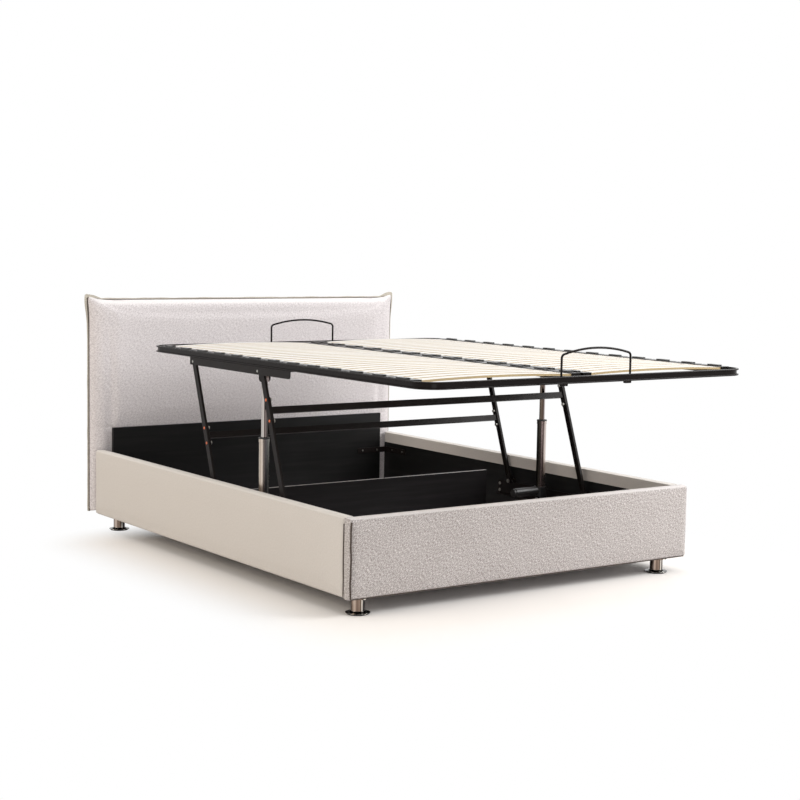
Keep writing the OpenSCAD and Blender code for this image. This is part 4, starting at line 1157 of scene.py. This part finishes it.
@dataclass
class Headboard:
    """The padded front and the seamed back of the headboard."""

    voxel: float = 8 * MM
    pressure: float = 4.0
    swell: float = 5 * MM
    seam_height: float = 442 * MM
    seam_dent: Dent = Dent(8 * MM, 4 * MM)
    gather_dent: Dent = Dent(22 * MM, 1 * MM)
    gather: float = 31 * MM
    crease_dent: Dent = Dent(26 * MM, 3.2 * MM, 26 * MM)
    crease_width: float = 9 * MM
    crease_slope: float = 0.35
    left_crease: float = 78 * MM
    right_crease: float = 64 * MM
    side_valley: Dent = Dent(24 * MM, 7 * MM, 84 * MM)
    side_valley_fade: float = 110 * MM
    top_valley: Dent = Dent(20 * MM, 4.2 * MM, 58 * MM)
    top_valley_fade: float = 140 * MM
    drawn_dent: Dent = Dent(26 * MM, 0.8 * MM, 20 * MM)
    roll: float = 64 * MM
    thinnest: float = 7 * MM
    crown: float = 5 * MM
    crown_start: float = 12 * MM
    crown_rise: float = 60 * MM
    flange: float = 8 * MM
    flange_t: float = 1.6 * MM
    ear: float = 1.6
    ear_lift: float = 3.0
    ear_side: float = 80 * MM
    ear_reach: float = 60 * MM
    ear_fill: float = 7 * MM
    shell: float = 4 * MM
    air: float = 0.3 * MM
    outline_steps: int = 60

    def build(self) -> None:
        """Builds the cushion, the back shell, the flange and the seam cord."""
        self.pad()
        self.back()
        self.pinched_seam()

    def pad(self) -> None:
        """Builds the front cushion: a broad soft roll round a flat middle."""
        low, high = corners("headboard_pad")
        piece = block("headboard_cushion", low, high)
        apply_modifier(piece, "REMESH", mode="VOXEL", voxel_size=self.voxel)
        places = coordinates(piece)
        self.shape(places, low, high)
        move_to(piece, places)
        held = np.where(places[:, Y] > high.y - self.swell, 1.0, 0.0)
        puff(piece, held, self.pressure, self.swell)
        places = coordinates(piece)
        self.sew(places, low, high)
        move_to(piece, places)
        smooth(piece, 80)
        unroll(piece)
        hand_over(piece, "headboard_cushion", Body.BASE, HEAD_CLOTH,
                  ["headboard_pad"])

    def shape(self, places: np.ndarray, low: Vector, high: Vector) -> None:
        """Rolls a block's front over at its sides and top, and fills its two ears.

        Args:
            places: The block's vertices, which are moved.
            low: Its lowest corner.
            high: Its highest corner.
        """
        side = np.minimum(places[:, X] - low.x, high.x - places[:, X])
        top = high.z - places[:, Z]
        rise = rolled(side, self.roll * 1.3, 1.8) * rolled(top, self.roll)
        share = self.thinnest / (high.y - low.y)
        depth = (high.y - places[:, Y]) * (share + (1 - share) * rise)
        places[:, Y] = high.y - depth
        corner = bell(np.hypot(side, top), 40 * MM) * self.ear_fill
        places[:, X] += corner * np.sign(places[:, X])
        places[:, Z] += 2 * corner

    def sew(self, places: np.ndarray, low: Vector, high: Vector) -> None:
        """Draws the cushion in at its cross seam, its corner creases and inside its border.

        The cross seam gathers the cloth under it, and above it the middle stands out a little.

        Args:
            places: The cushion's vertices, which are moved.
            low: The CAD pad's lowest corner.
            high: Its highest corner.
        """
        across = places[:, X].copy()
        front = np.clip((high.y - places[:, Y]) / (high.y - low.y), 0, 1)
        to_seam = places[:, Z] - self.seam_height
        top = high.z - places[:, Z]
        gathers = self.gather_dent.at(to_seam) * np.sin(across * 2 * math.pi / self.gather)
        dip = self.seam_dent.at(to_seam) + gathers * (to_seam < 0)
        for side, level in ((across - low.x, self.left_crease),
                            (high.x - across, self.right_crease)):
            off = top - level - self.crease_slope * side
            dip += self.crease_dent.at(side) * bell(off, self.crease_width)
        side = np.minimum(across - low.x, high.x - across)
        dip += np.maximum(self.side_valley.at(side) * rolled(top, self.side_valley_fade),
                          self.top_valley.at(top) * rolled(side, self.top_valley_fade))
        drawn = np.sin(across * 9.0) * 0.5 + np.sin(across * 23.0 + 1.0) * 0.5
        dip += self.drawn_dent.at(top) * drawn
        above = np.clip((to_seam - self.crown_start) / self.crown_rise, 0, 1)
        places[:, Y] = np.clip(places[:, Y] + dip * front, low.y - self.crown * above, high.y)

    def back(self) -> None:
        """Builds the back cloth: a rounded shell over the board."""
        low, high = corners("headboard_back")
        core_low, core_high = corners("headboard_core")
        piece = block("headboard_shell", (core_low.x - self.shell, low.y + 3 * MM, low.z),
                      (core_high.x + self.shell, high.y, core_high.z + self.shell))
        round_edges(piece, 7 * MM, lambda a, b: both_at(Y, high.y, a, b)
                    and not both_at(Z, low.z, a, b))
        carve(piece, (core_low.x - self.air, low.y - 1, low.z - 1),
              core_high + Vector((self.air, self.air, self.air)))
        smooth(piece)
        unroll(piece)
        hand_over(piece, "headboard_back_shell", Body.BASE, BACK_CLOTH,
                  ["headboard_back"])

    def outline(self, inset: float) -> list[tuple[Vector, Vector]]:
        """Walks up the left side, along the top and down the right side of the cushion.

        The way out grows towards the two top corners, where the seam ends in ears.

        Args:
            inset: How far inside the CAD pad's outline the walk goes.

        Returns:
            For each step its place and the way out, 1 long where the seam runs plain.
        """
        low, high = corners("headboard_pad")
        half, top = high.x - inset, high.z - inset
        steps = []
        count = self.outline_steps
        for k in range(count + 1):
            below = (top - low.z) * (1 - k / count)
            near = math.exp(-(below / self.ear_side) ** 2)
            steps.append((Vector((-half, 0, top - below)),
                          Vector((-1 - self.ear * near, 0, self.ear_lift * near))))
        for k in range(1, count + 1):
            beside = half * (k / count) ** 1.3
            near = max(0.0, 1 - beside / self.ear_reach)
            steps.append((Vector((beside - half, 0, top)),
                          Vector((-(1 + self.ear) * near ** 3, 0, 1 + self.ear_lift * near))))
        mirrored = [(Vector((-place.x, 0, place.z)), Vector((-way.x, 0, way.z)))
                    for place, way in reversed(steps[:-1])]
        return steps + mirrored

    def pinched_seam(self) -> None:
        """Builds the flange that stands out round the back and the dark cord before it, whose
        dark colour paints the shade in the crease between cushion and flange.
        """
        seam = corners("headboard_pad")[1].y
        behind, before = Vector((0, seam + 2.4 * MM, 0)), Vector((0, seam - 1.2 * MM, 0))
        back = Vector((0, 1, 0))
        stations = []
        for k, (place, way) in enumerate(self.outline(0.0)):
            waver = 1 + 0.07 * math.sin(k * 0.9) + 0.08 * math.sin(k * 0.37)
            stations.append(Station(place + behind, way * waver, back))
        inner, outer, thick = -3 * MM, self.flange, self.flange_t
        ring = [(inner, -thick), (outer * 0.8, -thick), (outer, -thick * 0.4),
                (outer, thick * 0.4), (outer * 0.8, thick), (inner, thick)]
        piece = swept("headboard_flange", stations, ring)
        smooth(piece, 50)
        unroll(piece)
        hand_over(piece, "headboard_flange", Body.BASE, FLANGE_CLOTH)
        line = [place + before + way.normalized() * (way.length - 1) * 3.5 * MM
                for place, way in self.outline(-1.5 * MM)]
        # The cord's dark colour paints the shade in the crease between cushion and flange.
        cord("headboard_seam_cord", line, back, 3.6 * MM, SHADED_SEAM_CORD)


# Fittings


def turned(name: str, centre: Vector, axis: Vector, profile: Sequence[tuple[float, float]],
           count: int = 20) -> bpy.types.Object:
    """Turns a closed profile round an axis.

    Args:
        name: The new piece's name.
        centre: A point of the axis.
        axis: The axis's direction.
        profile: Points of the profile, as distances from the axis and along it.
        count: How many steps make a full turn.

    Returns:
        The turned ring.
    """
    first = axis.orthogonal().normalized()
    second = axis.cross(first)
    stations = []
    for k in range(count):
        turn = 2 * math.pi * k / count
        out = first * math.cos(turn) + second * math.sin(turn)
        stations.append(Station(centre, out, axis))
    piece = swept(name, stations, profile, closed=True)
    smooth(piece)
    return piece


@dataclass
class Fittings:
    """Small fittings that the CAD model leaves out."""

    rivet_radius: float = 5.5 * MM
    rivet_height: float = 1.3 * MM
    rivet_inset: float = 7 * MM
    band: float = 0.18 * MM
    tube_bore: float = 12.8 * MM
    clamp_inset: float = 16 * MM
    clamp_half: float = 13 * MM
    clamp_h: float = 8 * MM

    def build(self) -> None:
        """Builds all of them."""
        for name, body in (("front", Body.FRONT_ARMS), ("rear", Body.REAR_ARMS)):
            self.rivets(name, body)
        self.divider_band()
        self.collar("left", Body.LEFT_ACTUATOR)
        self.collar("right", Body.RIGHT_ACTUATOR)
        self.bail_clamps()

    def rivets(self, name: str, body: Body) -> None:
        """Puts domed brass ends on the crossbar bolts, on the arms' outer faces.

        Args:
            name: Which arms, front or rear.
            body: The body that they move with.
        """
        low, high = corners(f"{name}_crossbar_bolts")
        r, h, inset = self.rivet_radius, self.rivet_height, self.rivet_inset
        profile = [(0.3 * r, 0), (r, 0), (r, 0.5 * h), (0.8 * r, h), (0.45 * r, 0.8 * h),
                   (0.3 * r, 0.4 * h)]
        for side, which, x in ((-1, "left", low.x), (1, "right", high.x)):
            face = x + side * 0.1 * MM
            for place, y, z in (("lower", low.y + inset, low.z + inset),
                                ("upper", high.y - inset, high.z - inset)):
                piece = turned("rivet", Vector((face, y, z)), Vector((side, 0, 0)), profile)
                hand_over(piece, f"{name}_{which}_{place}_rivet", body, BRASS)

    def divider_band(self) -> None:
        """Lays the pale band along the divider's top edge, under the lowered platform."""
        low, high = corners("divider")
        piece = block("divider_band", (low.x, low.y, high.z + 0.02 * MM),
                      (high.x, high.y, high.z + self.band))
        round_edges(piece, self.band / 3, lambda a, b: runs_along(X, a, b), 2)
        smooth(piece)
        hand_over(piece, "divider_band", Body.BASE, EDGE_BAND)

    def collar(self, side: str, body: Body) -> None:
        """Fits the dark wiper ring on top of an actuator's tube.

        Args:
            side: Which actuator, left or right.
            body: The body that it moves with.
        """
        low, high = corners(f"{side}_housing_tube")
        outer = (high.x - low.x) / 2 + 0.8 * MM
        inner = self.tube_bore
        centre = Vector(((low.x + high.x) / 2, (low.y + high.y) / 2, high.z + 0.2 * MM))
        profile = [(inner, 0), (outer, 0), (outer, 4 * MM), (outer - 1.5 * MM, 5.5 * MM),
                   (inner + 2 * MM, 6.5 * MM), (inner, 5 * MM)]
        piece = turned("collar", centre, Vector((0, 0, 1)), profile, 32)
        hand_over(piece, f"{side}_tube_collar", body, BLACK_PLASTIC)

    def bail_clamps(self) -> None:
        """Fixes the clamp blocks under the rim, beneath the foot bail's two feet."""
        low, high = corners("foot_bail")
        under = corners("platform_rim")[0].z - 0.2 * MM
        for side, x in (("left", low.x + self.clamp_inset), ("right", high.x - self.clamp_inset)):
            piece = block("clamp", (x - self.clamp_half, low.y - 3 * MM, under - self.clamp_h),
                          (x + self.clamp_half, high.y + 3 * MM, under))
            round_edges(piece, 2.5 * MM,
                        lambda a, b: both_at(Z, under - self.clamp_h, a, b), 3)
            smooth(piece)
            hand_over(piece, f"{side}_bail_clamp", Body.PLATFORM, FRAME_STEEL)


# Studio


@dataclass(frozen=True)
class Lamp:
    """A square lamp: its place, its edge in metres, its watts and its tint."""

    name: str
    place: Point
    size: float
    power: float
    tint: tuple[float, float, float] = (1.0, 1.0, 1.0)

    def hang(self, target: Point) -> None:
        """Hangs the lamp, turned to a target."""
        data = bpy.data.lights.new(self.name, "AREA")
        data.shape = "SQUARE"
        data.size = self.size
        data.energy = self.power
        data.color = self.tint
        lamp = bpy.data.objects.new(self.name, data)
        lamp.location = self.place
        aim = Vector(target) - Vector(self.place)
        lamp.rotation_euler = aim.to_track_quat("-Z", "Y").to_euler()
        bpy.context.collection.objects.link(lamp)


@dataclass(frozen=True)
class Studio:
    """The camera, the lamps, the floor and the white surroundings.

    Angles are in degrees, shaded is the floor's stretch across and along that keeps the bed's
    shadow, and fade is where round it the shadow starts to end and has ended.
    """

    eye: Point = (-3.8608, -5.5353, 1.2997)
    yaw: float = 35.11
    pitch: float = 5.59
    roll: float = 0.97
    lens: float = 74.07
    sensor: float = 36.0
    ambient: float = 0.58
    shaded: tuple[tuple[float, float], ...] = ((-0.8, 1.0), (-1.06, 0.72))
    fade: tuple[float, float] = (0.03, 0.44)
    floor_size: float = 60.0
    floor_shade: Shade = (250, 246, 242)
    target: Point = (0.0, -0.2, 0.4)
    lights: tuple[Lamp, ...] = (
        Lamp("key", (3.5, -3.0, 3.2), 3.0, 208),
        Lamp("left fill", (-5.5, 0.9, 2.8), 3.0, 94, (1.0, 0.88, 0.72)),
        Lamp("low fill", (-2.2, -5.0, 0.9), 1.6, 18),
        Lamp("overhead", (0.0, 0.0, 4.5), 4.0, 42))

    def build(self) -> None:
        """Sets up all of it."""
        self.camera()
        for lamp in self.lights:
            lamp.hang(self.target)
        self.surroundings()
        self.floor()
        bpy.context.scene.view_settings.view_transform = "Standard"

    def camera(self) -> None:
        """Places the camera by its measured turn about the three axes."""
        data = bpy.data.cameras.new("portrait")
        data.lens = self.lens
        data.sensor_width = self.sensor
        data.clip_end = 100
        camera = bpy.data.objects.new("portrait", data)
        yaw, pitch, roll = (math.radians(a) for a in (self.yaw, self.pitch, self.roll))
        ahead = Vector((math.sin(yaw) * math.cos(pitch), math.cos(yaw) * math.cos(pitch),
                        -math.sin(pitch)))
        level = Vector((math.cos(yaw), -math.sin(yaw), 0))
        upright = level.cross(ahead)
        right = level * math.cos(roll) + upright * math.sin(roll)
        top = upright * math.cos(roll) - level * math.sin(roll)
        turn = Matrix((right, top, -ahead)).transposed()
        camera.matrix_world = Matrix.Translation(self.eye) @ turn.to_4x4()
        bpy.context.collection.objects.link(camera)
        bpy.context.scene.camera = camera

    @staticmethod
    def seen_rays(bench: NodeBench) -> bpy.types.NodeSocket:
        """Returns 1 for the rays that look: the camera's, the mirrored and the let through."""
        rays = bench.add("LightPath")
        seen = bench.math("MAXIMUM", rays.outputs["Is Camera Ray"],
                          rays.outputs["Is Transmission Ray"])
        return bench.math("MAXIMUM", seen, rays.outputs["Is Glossy Ray"])

    def surroundings(self) -> None:
        """Makes the world white to the eye and softer as a light."""
        world = bpy.data.worlds.new("white studio")
        bpy.context.scene.world = world
        world.use_nodes = True
        bench = NodeBench(world.node_tree)
        background = world.node_tree.nodes["Background"]
        bench.feed(background.inputs["Strength"],
                   bench.span(self.seen_rays(bench), self.ambient, 1.0))
        background.inputs["Color"].default_value = (1, 1, 1, 1)

    def floor(self) -> None:
        """Lays a floor that keeps the bed's shadow and fades to plain white away from it."""
        deselect()
        bpy.ops.mesh.primitive_plane_add(size=self.floor_size)
        floor = bpy.context.active_object
        floor.name = "floor"
        made = bpy.data.materials.new("studio floor")
        made.use_nodes = True
        bench = NodeBench(made.node_tree)
        shader = made.node_tree.nodes["Principled BSDF"]
        shader.inputs["Base Color"].default_value = linear(self.floor_shade)
        shader.inputs["Roughness"].default_value = 0.6
        shader.inputs["Specular IOR Level"].default_value = 0.1
        across, along, _ = bench.parts(bench.add("TexCoord").outputs["Object"])
        beside = []
        for place, (low, high) in zip((across, along), self.shaded):
            off = bench.math("ABSOLUTE", bench.math("SUBTRACT", place, (low + high) / 2))
            out = bench.math("SUBTRACT", off, (high - low) / 2)
            beside.append(bench.math("MAXIMUM", out, 0.0))
        squares = [bench.math("MULTIPLY", side, side) for side in beside]
        away = bench.math("SQRT", bench.math("ADD", *squares))
        plain = bench.math("MULTIPLY", bench.ease(away, *self.fade), self.seen_rays(bench))
        glow = bench.add("Emission")
        glow.inputs["Strength"].default_value = 1.0
        blend = bench.add("MixShader")
        bench.feed(blend.inputs[0], plain)
        bench.feed(blend.inputs[1], shader.outputs[0])
        bench.feed(blend.inputs[2], glow.outputs[0])
        bench.feed(made.node_tree.nodes["Material Output"].inputs["Surface"], blend.outputs[0])
        floor.data.materials.append(made)


def main() -> None:
    """Dresses the bed and sets up the studio."""
    logging.basicConfig(level=logging.INFO, format="%(name)s: %(message)s")
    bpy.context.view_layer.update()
    dress_cad()
    Upholstery().build()
    Headboard().build()
    Fittings().build()
    Studio().build()


if __name__ == "__main__":
    main()
